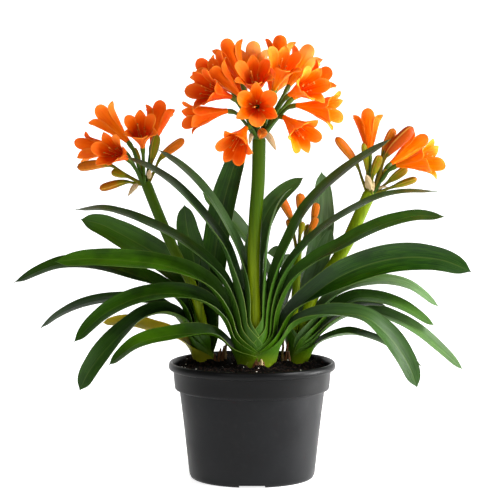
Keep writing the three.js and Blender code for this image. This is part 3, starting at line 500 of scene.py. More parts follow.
class Finish:
    """A material under way: short names for the nodes that every finish uses."""

    def __init__(self, name, **shader):
        self.material = bpy.data.materials.new(name)
        self.material.use_nodes = True
        tree = self.material.node_tree
        tree.nodes.clear()
        self.add = maker(tree)
        inputs = {label.replace("_", " "): value for label, value in shader.items()}
        self.shader = self.add("ShaderNodeBsdfPrincipled", inputs)
        self.add("ShaderNodeOutputMaterial", {"Surface": self.shader.outputs[0]})
        self.link = tree.links.new

    def field(self, name):
        return self.add("ShaderNodeAttribute", attribute_name=name).outputs["Fac"]

    def where(self, scale=(1, 1, 1)):
        place = self.add("ShaderNodeTexCoord").outputs["Object"]
        return self.add("ShaderNodeMapping", {"Vector": place, "Scale": scale}).outputs[0]

    def joined(self, x, y, z=0.0):
        return self.add("ShaderNodeCombineXYZ", {0: x, 1: y, 2: z}).outputs[0]

    def noise(self, vector, scale, detail=3.0, roughness=0.5):
        inputs = {"Vector": vector, "Scale": scale, "Detail": detail, "Roughness": roughness}
        return self.add("ShaderNodeTexNoise", inputs).outputs["Fac"]

    def ramp(self, value, low, high, start=0.0, end=1.0):
        inputs = {0: value, 1: low, 2: high, 3: start, 4: end}
        return self.add("ShaderNodeMapRange", inputs, interpolation_type="SMOOTHSTEP").outputs[0]

    def math(self, operation, a, b=0.0):
        return self.add("ShaderNodeMath", {0: a, 1: b}, operation=operation).outputs[0]

    def blend(self, factor, a, b, kind="MIX"):
        inputs = {0: factor, 6: tuple(a) if not isinstance(a, bpy.types.NodeSocket) else a,
                  7: tuple(b) if not isinstance(b, bpy.types.NodeSocket) else b}
        return self.add("ShaderNodeMix", inputs, data_type="RGBA", blend_type=kind).outputs[2]

    def bump(self, height, strength, distance):
        inputs = {"Height": height, "Strength": strength, "Distance": distance}
        return self.add("ShaderNodeBump", inputs).outputs[0]

    def done(self, colour, roughness=None, normal=None):
        self.link(colour, self.shader.inputs["Base Color"])
        if roughness is not None:
            self.link(roughness, self.shader.inputs["Roughness"])
        if normal is not None:
            self.link(normal, self.shader.inputs["Normal"])
        return self.material


def tree_named(name, inputs):
    """An empty Geometry Nodes tree with named inputs. Returns it, its node maker and its input node."""
    tree = bpy.data.node_groups.new(name, "GeometryNodeTree")
    tree.interface.new_socket("Geometry", in_out="INPUT", socket_type="NodeSocketGeometry")
    for label, kind in inputs:
        tree.interface.new_socket(label, in_out="INPUT", socket_type=f"NodeSocket{kind}")
    tree.interface.new_socket("Geometry", in_out="OUTPUT", socket_type="NodeSocketGeometry")
    add = maker(tree)
    return tree, add, add("NodeGroupInput").outputs


def run_tree(piece, tree, values):
    """Sets the tree's inputs by identifier and turns its result into the piece's plain mesh."""
    modifier = piece.modifiers.new(tree.name, "NODES")
    modifier.node_group = tree
    for socket in tree.interface.items_tree:
        if socket.in_out == "INPUT" and socket.name in values:
            modifier[socket.identifier] = values[socket.name]
    depsgraph = bpy.context.evaluated_depsgraph_get()
    result = bpy.data.meshes.new_from_object(
        piece.evaluated_get(depsgraph), preserve_all_data_layers=True, depsgraph=depsgraph)
    piece.modifiers.remove(modifier)
    piece.data = result
    result.name = piece.name
    if not result.polygons:
        raise RuntimeError(f"{tree.name} made nothing for {piece.name}")


def outwards(piece):
    """Turns the faces of closed shapes outwards."""
    shape = bmesh.new()
    shape.from_mesh(piece.data)
    bmesh.ops.remove_doubles(shape, verts=shape.verts, dist=1e-7)
    bmesh.ops.recalc_face_normals(shape, faces=shape.faces)
    shape.to_mesh(piece.data)
    shape.free()


# ---------------------------------------------------------------- pot

def pot_outline(pot):
    """Radius and height round the pot's wall, from the middle of its foot to the middle of its floor."""
    foot = pot.height - pot.band_height
    lip = pot.height - pot.lip
    base, top, band, rim, wall = pot.base, pot.wall_top, pot.band, pot.rim, pot.wall
    return [
        (0, 0), (base - 9 * MM, 0), (base - 5 * MM, 0), (base - 3 * MM, 0.4 * MM),
        (base - 1.5 * MM, 1.5 * MM), (base - 0.5 * MM, 3.2 * MM), (base, 5 * MM),
        (mix(base, top, 0.33), mix(5 * MM, foot, 0.33)), (mix(base, top, 0.66), mix(5 * MM, foot, 0.66)),
        (top - 0.1 * MM, foot - 4 * MM), (top, foot - 2 * MM), (top + 0.8 * MM, foot - 1.1 * MM),
        (band - 3.4 * MM, foot - 0.7 * MM), (band - 2 * MM, foot - 0.2 * MM),
        (band - 1.2 * MM, foot + 0.8 * MM), (band - 1 * MM, foot + 2.2 * MM),
        (mix(band - 1 * MM, band + 0.8 * MM, 0.5), mix(foot, lip, 0.5)), (band + 0.7 * MM, lip - 1.6 * MM),
        (band + 1 * MM, lip - 0.4 * MM), (band + 2 * MM, lip), (rim - 2.2 * MM, lip + 0.2 * MM),
        (rim - 0.8 * MM, lip + 0.9 * MM), (rim, lip + 2.4 * MM), (rim, lip + 4.6 * MM),
        (rim - 0.5 * MM, pot.height - 1.6 * MM), (rim - 1.5 * MM, pot.height - 0.4 * MM),
        (rim - 2.6 * MM, pot.height), (rim - 3.7 * MM, pot.height - 0.3 * MM),
        (rim - 4.6 * MM, pot.height - 1.1 * MM), (band - 0.6 * MM, lip + 2.2 * MM), (band - 1 * MM, lip),
        (band - 1 * MM - wall, foot + 3 * MM), (top - wall, foot + 0.4 * MM), (base - wall, 6 * MM),
        (base - 5 * MM, pot.floor), (0, pot.floor),
    ]


def lathe(outline, segments):
    """A closed turned body from an outline that starts and ends on the axis."""
    verts, faces = [], []
    rings = outline[1:-1]
    for radius, height in rings:
        for i in range(segments):
            angle = 2 * math.pi * i / segments
            verts.append(Vector((radius * math.cos(angle), radius * math.sin(angle), height)))
    for i in range(len(rings) - 1):
        for j in range(segments):
            a, b = i * segments + j, i * segments + (j + 1) % segments
            faces.append([a, b, b + segments, a + segments])
    first, last = len(verts), len(verts) + 1
    verts += [Vector((0, 0, outline[0][1])), Vector((0, 0, outline[-1][1]))]
    end = (len(rings) - 1) * segments
    for j in range(segments):
        following = (j + 1) % segments
        faces.append([first, following, j])
        faces.append([last, end + j, end + following])
    return verts, faces


def pot_finish(pot):
    plastic = Finish("pot_plastic", Roughness=0.42, Specular_IOR_Level=0.14)
    where = plastic.where()
    cloud = plastic.noise(where, 26, 4)
    dust = plastic.noise(where, 140, 3)
    scuff = plastic.noise(plastic.where((30, 30, 900)), 1.0, 2)
    height = plastic.add("ShaderNodeSeparateXYZ", {0: where}).outputs[2]
    chalk = plastic.ramp(dust, 0.5, 0.75)
    chalk = plastic.math("MULTIPLY", chalk, plastic.ramp(height, 0.0, 0.13, 0.5, 1.0))
    base = plastic.blend(plastic.ramp(cloud, 0.3, 0.7), toned(pot.plastic, 0.86), toned(pot.plastic, 1.14))
    base = plastic.blend(plastic.math("MULTIPLY", chalk, 0.015), base, paint(120, 116, 110))
    # Painted shade: from just under the foot of the band up through the band and the lip, the plastic is
    # darkened towards black, for the shade that falls under the rim and the leaves.
    band_foot = pot.height - pot.band_height
    band = plastic.ramp(height, band_foot - 2 * MM, band_foot + 3 * MM, 0.0, 0.8)
    base = plastic.blend(band, base, toned(pot.plastic, 0.12))
    rough = plastic.ramp(cloud, 0.3, 0.7, 0.34, 0.46)
    grain = plastic.math("ADD", plastic.noise(where, 900, 2), plastic.math("MULTIPLY", scuff, 0.5))
    return plastic.done(base, rough, plastic.bump(grain, 0.12, 0.0004))


def drain_tree():
    """Cuts slots at even steps round the foot of a pot."""
    tree, add, given = tree_named("Drain slots", [
        ("Slots", "Int"), ("Width", "Float"), ("Height", "Float"), ("Start", "Float"), ("End", "Float"),
        ("Plastic", "Material")])
    reach = add("ShaderNodeMath", {0: given["End"], 1: given["Start"]}, operation="SUBTRACT").outputs[0]
    tall = add("ShaderNodeMath", {0: given["Height"], 1: 2.0}, operation="MULTIPLY").outputs[0]
    size = add("ShaderNodeCombineXYZ", {0: reach, 1: given["Width"], 2: tall}).outputs[0]
    middle = add("ShaderNodeMath", {0: given["End"], 1: given["Start"]}, operation="ADD").outputs[0]
    middle = add("ShaderNodeMath", {0: middle, 1: 0.5}, operation="MULTIPLY").outputs[0]
    ring = add("GeometryNodeMeshCircle", {"Vertices": given["Slots"], "Radius": middle}).outputs[0]
    turn = add("ShaderNodeMath", {0: 2 * math.pi, 1: given["Slots"]}, operation="DIVIDE").outputs[0]
    turn = add("ShaderNodeMath", {0: turn, 1: add("GeometryNodeInputIndex").outputs[0]}, operation="MULTIPLY")
    turn = add("ShaderNodeCombineXYZ", {2: turn.outputs[0]}).outputs[0]
    cutters = add("GeometryNodeInstanceOnPoints", {
        "Points": ring,
        "Instance": add("GeometryNodeMeshCube", {"Size": size}).outputs[0],
        "Rotation": add("FunctionNodeEulerToRotation", {0: turn}).outputs[0],
    }).outputs[0]
    cutters = add("GeometryNodeTransform", {"Geometry": cutters, "Rotation": (0, 0, math.pi / 2)}).outputs[0]
    cutters = add("GeometryNodeRealizeInstances", {0: cutters}).outputs[0]
    cut = add("GeometryNodeMeshBoolean", {0: given["Geometry"], 1: cutters},
              operation="DIFFERENCE", solver="EXACT")
    flat = add("GeometryNodeRealizeInstances", {0: cut.outputs[0]}).outputs[0]
    ready = add("GeometryNodeSetMaterial", {"Geometry": flat, "Material": given["Plastic"]}).outputs[0]
    add("NodeGroupOutput", {0: ready})
    return tree


def build_pot(pot):
    plastic = pot_finish(pot)
    piece = body("pot_shell", *lathe(pot_outline(pot), 144), plastic)
    run_tree(piece, drain_tree(), {
        "Slots": pot.drains, "Width": pot.drain_width, "Height": pot.drain_height,
        "Start": pot.drain_start, "End": pot.rim, "Plastic": plastic})
    piece.data.shade_smooth()
    piece.data.set_sharp_from_angle(angle=math.radians(38))
    finished(piece, "pot", "pot")


# ---------------------------------------------------------------- soil

def soil_height(soil, x, y):
    """Height of the soil's top at a place in the pot: a low heap, with clumps, pushed up here and
    there against the crowns."""
    radius = math.hypot(x, y)
    banks = 0
    for crown_x, crown_y in CROWNS.values():
        away_x, away_y = x / MM - crown_x, y / MM - crown_y
        away = math.hypot(away_x, away_y)
        lumps = 0.35 + 0.65 * math.cos(3 * math.atan2(away_y, away_x) + 0.6 + crown_x * 0.05) ** 2
        banks = max(banks, lumps * math.exp(-((away - 24) / 7) ** 2))
    rise = mix(soil.crown, soil.edge, smooth(20 * MM, 84 * MM, radius))
    rise += soil.back * smooth(-15 * MM, 65 * MM, y)
    place = Vector((x, y, 0.37))
    clumps = noise.fractal(place * 90, 1.0, 2.0, 3) * 0.55 + noise.noise(place * 320) * 0.3
    crumbs = noise.noise(place * 900) * 0.25
    calm = 1 - 0.6 * smooth(76 * MM, 85 * MM, radius)
    return rise + soil.bank * banks + soil.clump * (clumps + crumbs) * calm


def soil_finish(soil):
    peat = Finish("soil_peat", Roughness=1.0, Specular_IOR_Level=0.08)
    where = peat.where()
    clump = peat.noise(where, 150, 5, 0.6)
    fibre = peat.noise(peat.where((1, 3, 1)), 420, 4, 0.65)
    base = peat.blend(peat.ramp(clump, 0.35, 0.7), toned(soil.peat, 0.35), soil.peat)
    base = peat.blend(peat.math("MULTIPLY", peat.ramp(fibre, 0.58, 0.78), 0.6), base, soil.bark)
    grain = peat.math("ADD", clump, fibre)
    return peat.done(base, None, peat.bump(grain, 0.9, 0.002))


def bark_finish(soil):
    bark = Finish("soil_bark", Roughness=0.9, Specular_IOR_Level=0.15)
    shade = bark.field("shade")
    where = bark.where((1, 1, 2))
    grain = bark.noise(where, 700, 4, 0.6)
    base = bark.blend(bark.ramp(shade, 0.1, 0.9), toned(soil.peat, 0.5), soil.bark)
    base = bark.blend(bark.ramp(grain, 0.3, 0.7, 0.45, 0.0), base, paint(12, 8, 7))
    return bark.done(base, None, bark.bump(grain, 0.7, 0.001))


def grit_finish():
    grit = Finish("soil_grit", Roughness=0.8)
    grain = grit.noise(grit.where(), 1500, 3)
    return grit.done(grit.blend(grain, paint(168, 160, 146), paint(236, 232, 222)), None,
                     grit.bump(grain, 0.5, 0.0006))


def scatter_tree():
    """Strews rough bits over the upward faces of a surface."""
    tree, add, given = tree_named("Soil bits", [
        ("Number", "Int"), ("Area", "Float"), ("Smallest", "Vector"), ("Largest", "Vector"), ("Seed", "Int"),
        ("Stuff", "Material")])
    density = add("ShaderNodeMath", {0: given["Number"], 1: given["Area"]}, operation="DIVIDE").outputs[0]
    points = add("GeometryNodeDistributePointsOnFaces", {
        "Mesh": given["Geometry"], "Density": density, "Seed": given["Seed"]})
    ball = add("GeometryNodeMeshIcoSphere", {"Radius": 0.5, "Subdivisions": 2}).outputs[0]
    place = add("GeometryNodeInputPosition").outputs[0]
    rough = add("ShaderNodeTexNoise", {"Vector": place, "Scale": 2.2, "Detail": 1.0})
    dent = add("ShaderNodeVectorMath", {0: rough.outputs["Color"], 1: (0.5, 0.5, 0.5)}, operation="SUBTRACT")
    ball = add("GeometryNodeSetPosition", {"Geometry": ball, "Offset": dent.outputs[0]}).outputs[0]
    size = add("FunctionNodeRandomValue", {0: given["Smallest"], 1: given["Largest"], 8: given["Seed"]},
               data_type="FLOAT_VECTOR").outputs[0]
    spin = add("FunctionNodeRandomValue", {0: (-0.5, -0.5, -3.1), 1: (0.5, 0.5, 3.1), 8: 5},
               data_type="FLOAT_VECTOR").outputs[0]
    turn = add("FunctionNodeRotateRotation", {
        0: points.outputs["Rotation"], 1: add("FunctionNodeEulerToRotation", {0: spin}).outputs[0]},
        rotation_space="LOCAL").outputs[0]
    bits = add("GeometryNodeInstanceOnPoints", {
        "Points": points.outputs["Points"], "Instance": ball, "Rotation": turn, "Scale": size}).outputs[0]
    shade = add("FunctionNodeRandomValue", {8: 9}, data_type="FLOAT").outputs[1]
    bits = add("GeometryNodeStoreNamedAttribute", {"Geometry": bits, "Name": "shade", "Value": shade},
               data_type="FLOAT", domain="INSTANCE").outputs[0]
    bits = add("GeometryNodeRealizeInstances", {0: bits}).outputs[0]
    bits = add("GeometryNodeSetMaterial", {"Geometry": bits, "Material": given["Stuff"]}).outputs[0]
    add("NodeGroupOutput", {0: bits})
    return tree


SOIL_EDGE = 86.8 * MM  # radius of the soil's top
SOIL_OUTLINE = [  # radius and height, from the middle of the pot's floor to just under the top
    (0, 3.6 * MM), (65 * MM, 3.6 * MM), (69 * MM, 7 * MM), (79.9 * MM, 103 * MM), (85.4 * MM, 106 * MM),
]


def build_soil(soil):
    segments, rings = 120, 46
    outline = [*SOIL_OUTLINE, (SOIL_EDGE, soil.edge - 1 * MM)]
    outline += [(SOIL_EDGE * (1 - k / rings) ** 0.8, soil.edge) for k in range(rings + 1)]
    verts, faces = lathe(outline, segments)
    top = len(SOIL_OUTLINE) * segments  # the point on the axis has no ring, and the edge has one more
    for i, v in enumerate(verts):
        if i >= top and i != len(verts) - 2:
            v.z = soil_height(soil, v.x, v.y)
    piece = body("soil_heap", verts, faces, soil_finish(soil), crease=180)
    finished(piece, "soil", "soil")

    top_points = verts[top:-2]
    rows = len(top_points) // segments
    strewn = grid_wrap(rows, segments)
    tree = scatter_tree()
    for name, number, least, most, seed, stuff in (
        ("soil_bits", soil.bits, (1.6, 1.0, 0.7), (5.2, 2.6, 1.8), 11, bark_finish(soil)),
        ("soil_grit", soil.grit, (0.9, 0.9, 0.8), (2.6, 2.0, 1.8), 23, grit_finish()),
    ):
        bits = body(name, top_points, strewn, stuff)
        run_tree(bits, tree, {
            "Number": number, "Area": math.pi * SOIL_EDGE ** 2, "Smallest": [v * MM for v in least],
            "Largest": [v * MM for v in most], "Seed": seed, "Stuff": stuff})
        bits.data.shade_smooth()
        finished(bits, "soil")


def grid_wrap(rows, columns):
    """Faces of rings of points, one ring after the next, going inwards."""
    return [
        [i * columns + j, i * columns + (j + 1) % columns, (i + 1) * columns + (j + 1) % columns,
         (i + 1) * columns + j]
        for i in range(rows - 1) for j in range(columns)
    ]


# ---------------------------------------------------------------- leaves

CROWN_REACH = 34 * MM  # radius round a crown's middle that holds all its leaf feet
FOOT_TOP = 122 * MM  # height that only a leaf's first section lies under
SECOND = (130 * MM, 138 * MM)  # heights that a leaf's second section lies between
SECTIONS = 12  # sections that each leaf's solid has


def leaf_sections(name):
    """The middle points of each section across a leaf's solid, from its foot to its tip."""
    crown = Vector((*CROWNS[name.split("_")[1]], 0)) * MM
    solid = bmesh.new()
    solid.from_mesh(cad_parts[name].data)
    bmesh.ops.remove_doubles(solid, verts=solid.verts, dist=2e-5)
    row = {v for v in solid.verts if v.co.z < FOOT_TOP and (v.co.xy - crown.xy).length < CROWN_REACH}
    seen, sections, before = set(row), [], None
    while row:
        left, middles, owners = sorted(row, key=lambda v: tuple(v.co)), [], {}
        if len(row) == 6 and not any(e.other_vert(v) not in seen for v in row for e in v.link_edges):
            sections.append([sum((v.co for v in left), Vector()) / 6] * 3)
            break
        while left:
            one = left.pop()
            other = min(left, key=lambda v: (v.co - one.co).length)
            left.remove(other)
            owners[one] = owners[other] = len(middles)
            middles.append((one.co + other.co) / 2)
        beside = {i: set() for i in range(len(middles))}
        for v in row:
            for e in v.link_edges:
                other = owners.get(e.other_vert(v))
                if other is not None and other != owners[v]:
                    beside[owners[v]].add(other)
        order = [min((i for i in beside if len(beside[i]) == 1), key=lambda i: tuple(middles[i]))]
        while len(order) < len(middles):
            order.append(next(i for i in beside[order[-1]] if i not in order))
        points = [middles[i] for i in order]
        if before and (points[0] - before[0]).length > (points[-1] - before[0]).length:
            points.reverse()
        sections.append(points)
        before = points
        row = {e.other_vert(v) for v in row for e in v.link_edges} - seen
        seen |= row
    solid.free()
    if len(sections) != SECTIONS:
        raise RuntimeError(f"{name} has {len(sections)} sections")
    neck = sections[1]
    across, along = neck[-1] - neck[0], sections[2][2] - neck[2]
    if across.cross(along).dot(crown - Vector((neck[2].x, neck[2].y, 0))) < 0:
        sections = [points[::-1] for points in sections]
    return sections


def through(points, u):
    """The smooth curve through a section's points, read from -1 to 1."""
    places = [2 * k / (len(points) - 1) - 1 for k in range(len(points))]
    total = Vector()
    for k, p in enumerate(points):
        weight = 1.0
        for m, q in enumerate(places):
            if m != k:
                weight *= (u - q) / (places[k] - q)
        total += p * weight
    return total


COLUMNS = [-1, -0.94, -0.82, -0.64, -0.44, -0.25, -0.1, -0.035, 0,
           0.035, 0.1, 0.25, 0.44, 0.64, 0.82, 0.94, 1]


def wrapped(points, u, crown, flat, lift):
    """A point of a section, which past its margins goes on round the crown, at the same radius."""
    if abs(u) <= 1:
        return through(points, u)
    side = 1 if u > 0 else -1
    keel, margin = through(points, 0) - crown, through(points, side) - crown
    start, end = math.atan2(keel.y / flat, keel.x), math.atan2(margin.y / flat, margin.x)
    span = (end - start + math.pi) % (2 * math.pi) - math.pi
    angle = end + span * (abs(u) - 1)
    radius = math.hypot(margin.x, margin.y / flat) + lift * min(1.0, 3 * (abs(u) - 1))
    return crown + Vector((radius * math.cos(angle), radius * flat * math.sin(angle), margin.z))


def leaf_sheet(name, leaf, place_in_crown):
    """The middle surface of a leaf as rows of points, with where each lies and how thick it is."""
    sections = leaf_sections(name)
    group = name.split("_")[1]
    crown = Vector((*CROWNS[group], 0)) * MM
    marks = [0.0]
    for a, b in zip(sections, sections[1:]):
        marks.append(marks[-1] + (b[len(b) // 2] - a[len(a) // 2]).length)
    total = marks[-1]
    seed = Vector((sum(map(ord, name)), 0, 0))
    shell, on_side, lift = place_in_crown
    wing_top = mix(leaf.wing_inner, leaf.wing_outer, shell) + leaf.wing_vary * noise.noise(seed * 0.37)
    keel, margin = sections[1][2] - crown, sections[1][-1] - crown
    clasp = (keel.xy / keel.xy.length).angle(margin.xy / margin.xy.length)
    wrap = max(1.0, leaf.wrap / clasp * (1 + 0.35 * noise.noise(seed * 0.73))) if on_side else 1.15
    twist = leaf.twist * (1 + 0.5 * noise.noise(seed * 0.51)) * (1 if keel.x > 0 else -1) if on_side else 0.0

    distances = [leaf.sheath * k / leaf.sheath_rows for k in range(leaf.sheath_rows)]
    blade_rows = leaf.blade_rows
    distances += [mix(leaf.sheath, total, 1 - (1 - k / blade_rows) ** 1.4) for k in range(blade_rows + 1)]
    rows = []
    for reach in distances:
        k = min(max(bisect(marks, reach) - 1, 0), len(marks) - 2)
        x = (reach - marks[k]) / (marks[k + 1] - marks[k])
        around = range(max(0, k - 1), min(len(sections), k + 3))
        wide = mix(1.0, wrap, smooth(wing_top + leaf.wing_rise, wing_top - leaf.wing_rise, reach))
        girth = mix(leaf.taper * FOOT_GIRTH[group], 1.0, smooth(8 * MM, 75 * MM, reach))
        row = []
        for u in COLUMNS:
            column = {i: wrapped(sections[i], u * wide, crown, leaf.flat, lift) for i in around}
            point = hermite(column, marks, k, x, len(sections))
            point.xy = crown.xy.lerp(point.xy, girth)
            row.append(point)
        rows.append(row)
    points, thickness = [], []
    fields = {"across": [], "along": [], "reach": []}
    half = len(COLUMNS) // 2
    for i, (row, reach) in enumerate(zip(rows, distances)):
        t = reach / total
        middle = row[half]
        along = (rows[min(len(rows) - 1, i + 1)][half] - rows[max(0, i - 1)][half]).normalized()
        across = row[half + 1] - row[half - 1]
        across = (across - along * across.dot(along)).normalized()
        up = across.cross(along)
        blade = smooth(0.12, 0.3, t)
        fold = leaf.fold * smooth(35 * MM, 75 * MM, reach) * (1 - smooth(0.3, 0.62, t))
        turned = twist * smooth(25 * MM, 70 * MM, reach) * mix(1.0, 0.25, smooth(0.35, 0.7, t))
        tip = max(0.0, (t - 0.965) / 0.035)
        narrow = mix(1.0, 1.25, smooth(0.84, 0.98, t)) * max(0.05, 1 - tip ** 2) ** 0.5
        broad = leaf.neck * (0.8 * smooth(0.6, 0.3, shell) if on_side else 1.0)
        neck_end = smooth(0.2, 0.45, t) if on_side else smooth(0.35, 0.6, t)
        narrow *= 1 + broad * smooth(20 * MM, 45 * MM, reach) * (1 - neck_end)
        for u, p in zip(COLUMNS, row):
            margin_seed = seed + Vector((reach * 22, 3.1 if u > 0 else 7.7, 0))
            wave = noise.noise(margin_seed) * leaf.wave * blade * u * u
            groove = -0.3 * MM * math.exp(-(u / 0.09) ** 2) * smooth(0.08, 0.25, t)
            out = (p - middle) * narrow
            bent = Matrix.Rotation((-fold if u > 0 else fold) + turned, 3, along) @ out
            points.append(middle + bent + up * (wave + groove))
            thickness.append(mix(leaf.rib, leaf.margin, abs(u) ** 0.7) * mix(1.0, 0.55, smooth(0.7, 1, t)))
            fields["across"].append(u)
            fields["along"].append(t)
            fields["reach"].append(reach)
    return points, len(distances), thickness, fields


def hermite(points, marks, k, x, count):
    """A point on the smooth line through points at uneven marks."""
    def slope(i):
        if i == 0 or i == count - 1:
            j = max(1, i)
            return (points[j] - points[j - 1]) / (marks[j] - marks[j - 1])
        before = (points[i] - points[i - 1]) / (marks[i] - marks[i - 1])
        after = (points[i + 1] - points[i]) / (marks[i + 1] - marks[i])
        share_before = (marks[i + 1] - marks[i]) / (marks[i + 1] - marks[i - 1])
        return before * share_before + after * (1 - share_before)
    run = marks[k + 1] - marks[k]
    a, b = points[k], points[k + 1]
    x2, x3 = x * x, x * x * x
    return (a * (2 * x3 - 3 * x2 + 1) + slope(k) * run * (x3 - 2 * x2 + x)
            + b * (3 * x2 - 2 * x3) + slope(k + 1) * run * (x3 - x2))


def leaf_finish(leaf):
    skin = Finish("leaf_skin", Roughness=0.36, Specular_IOR_Level=0.2)
    across, along, reach = skin.field("across"), skin.field("along"), skin.field("reach")
    under, fresh, painted_sheen = skin.field("under"), skin.field("fresh"), skin.field("painted_sheen")
    edge = skin.math("ABSOLUTE", across)
    where = skin.joined(skin.math("MULTIPLY", across, 16.0), skin.math("MULTIPLY", reach, 9.0), fresh)
    veins = skin.noise(where, 2.4, 3, 0.6)
    wide = skin.joined(skin.math("MULTIPLY", across, 2.2), skin.math("MULTIPLY", reach, 14.0), painted_sheen)
    streaks = skin.noise(wide, 1.6, 2, 0.5)
    mottle = skin.noise(skin.where(), 28, 3)
    base = skin.blend(fresh, leaf.blade, leaf.fresh)
    base = skin.blend(skin.ramp(veins, 0.4, 0.75, 0.0, 0.5), base, leaf.fresh)
    base = skin.blend(skin.ramp(veins, 0.5, 0.25, 0.0, 0.5), base, toned(leaf.blade, 0.35))
    base = skin.blend(skin.ramp(mottle, 0.4, 0.7, 0.0, 0.55), base, toned(leaf.blade, 0.35))
    back = skin.blend(skin.ramp(reach, 0.05, 0.16), leaf.fresh, leaf.under)
    back = skin.blend(skin.ramp(veins, 0.35, 0.7, 0.0, 0.5), back, leaf.blade)
    base = skin.blend(skin.math("MULTIPLY", under, skin.ramp(reach, 0.05, 0.16, 0.75, 0.5)), base, back)
    upper = skin.math("SUBTRACT", 1.0, under)
    # Painted shade: the upper faces, which look in towards the crown, are darkened near their feet, where the
    # leaves round them shade them.
    painted_crown_shade = skin.math("MULTIPLY", upper, skin.ramp(reach, 0.04, 0.16, 0.85, 0.0))
    base = skin.blend(painted_crown_shade, base, toned(leaf.blade, 0.25))
    # Painted sheen: a grey-green reflection painted in broken streaks along the outer part of the leaves that
    # catch the light.
    bloom = skin.math("MULTIPLY", skin.math("MULTIPLY", painted_sheen, skin.ramp(along, 0.15, 0.6, 0.4, 0.75)),
                      skin.ramp(streaks, 0.3, 0.65, 0.45, 1.0))
    base = skin.blend(bloom, base, leaf.painted_sheen)
    base = skin.blend(skin.ramp(reach, 0.012, 0.04, 0.8, 0.0), base, leaf.foot)
    base = skin.blend(skin.ramp(reach, 0.04, 0.085, 0.16, 0.0), base, leaf.fresh)
    rib = skin.ramp(edge, 0.015, 0.08, 0.07, 0.0)
    # The pale margin line is partly the margins' own paler colour, strongest on the sheaths at the crown, and
    # partly a painted highlight along the edges of the blades.
    rim = skin.math("MULTIPLY", skin.ramp(edge, 0.96, 0.99), skin.ramp(reach, 0.05, 0.13, 0.42, 0.14))
    rim = skin.math("MULTIPLY", rim, skin.ramp(mottle, 0.38, 0.6, 0.1, 1.0))
    base = skin.blend(skin.math("MAXIMUM", rib, rim), base, leaf.pale)
    faded = skin.math("MULTIPLY", skin.field("old"), skin.ramp(reach, 0.03, 0.07, 0.2, 1.0))
    base = skin.blend(faded, base, leaf.old)
    rough = skin.ramp(veins, 0.3, 0.7, 0.3, 0.44)
    return skin.done(base, rough, skin.bump(veins, 0.35, 0.0006))


def places_in_crown(names, crown):
    """For each leaf of a crown: its shell from inner (0) to outer (1), whether it is one of the two
    broad sides, and how far its wings lift off the wings that they cross."""
    middle = Vector(CROWNS[crown]) * MM
    keels = {}
    for name in names:
        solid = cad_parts[name].data
        near = [v.co.xy - middle for v in solid.vertices if SECOND[0] < v.co.z < SECOND[1]]
        near = [d for d in near if d.length < CROWN_REACH]
        keels[name] = sum(near, Vector((0, 0))) / len(near)
    least = min(d.length for d in keels.values())
    most = max(d.length for d in keels.values())
    places = {}
    for name, keel in keels.items():
        shell = (keel.length - least) / (most - least)
        step = round(shell * 6) + (keel.x > 0)
        places[name] = (shell, abs(keel.x) > abs(keel.y), (0.5 if step % 2 else -0.5) * MM)
    return places


def build_leaves(leaf):
    skin = leaf_finish(leaf)
    for crown in CROWNS:
        names = sorted(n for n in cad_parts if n.startswith(f"leaf_{crown}_"))
        for name, place in places_in_crown(names, crown).items():
            points, rows, thickness, fields = leaf_sheet(name, leaf, place)
            verts, faces = thicken(points, grid_faces(rows, len(COLUMNS)), thickness)
            fresh, painted_sheen = LEAF_TONES.get(name, (0.5, 0.0))
            size = len(points)
            fields = {key: values * 2 for key, values in fields.items()}
            fields["under"] = [0.0] * size + [1.0] * size
            fields["fresh"] = [fresh] * (2 * size)
            fields["painted_sheen"] = [painted_sheen] * (2 * size)
            fields["old"] = [0.95 if name == OLD_LEAF else 0.0] * (2 * size)
            finished(body(name + "_blade", verts, faces, skin, fields), "leaf", name)


# ---------------------------------------------------------------- blooms

PETAL_LINES = {  # radius and height of each petal's line past the tube, in mm, wide open
    "inner": [(14.8, 37), (20.0, 46), (25.5, 51)],
    "outer": [(15.0, 36), (21.5, 44.5), (28.0, 47.5)],
}
THROAT_LEAN = 0.35  # how far the tube's wall leans out where the petals part, in radians
TUBE_SHARE = 0.36  # share of a petal's way that lies in the tube
CUP = {"inner": 24 * MM, "outer": 15 * MM}  # radius that a petal is bent to across its open end


def petal_width(kind, most, radius, s):
    """Half width along a petal: it overlaps its neighbours in the cup, and ends round if it is an
    inner one and in a point if it is an outer one."""
    cup = radius * math.pi / 6 * (1 + 0.26 * smooth(0, 0.35, s))
    wide = (cup ** -6 + most ** -6) ** (-1 / 6)
    if kind == "inner":
        return wide * max(0.0, 1 - max(0.0, (s - 0.52) / 0.48) ** 2.2) ** 0.58
    return wide * max(0.0, 1 - max(0.0, (s - 0.5) / 0.5) ** 1.7) ** 0.8


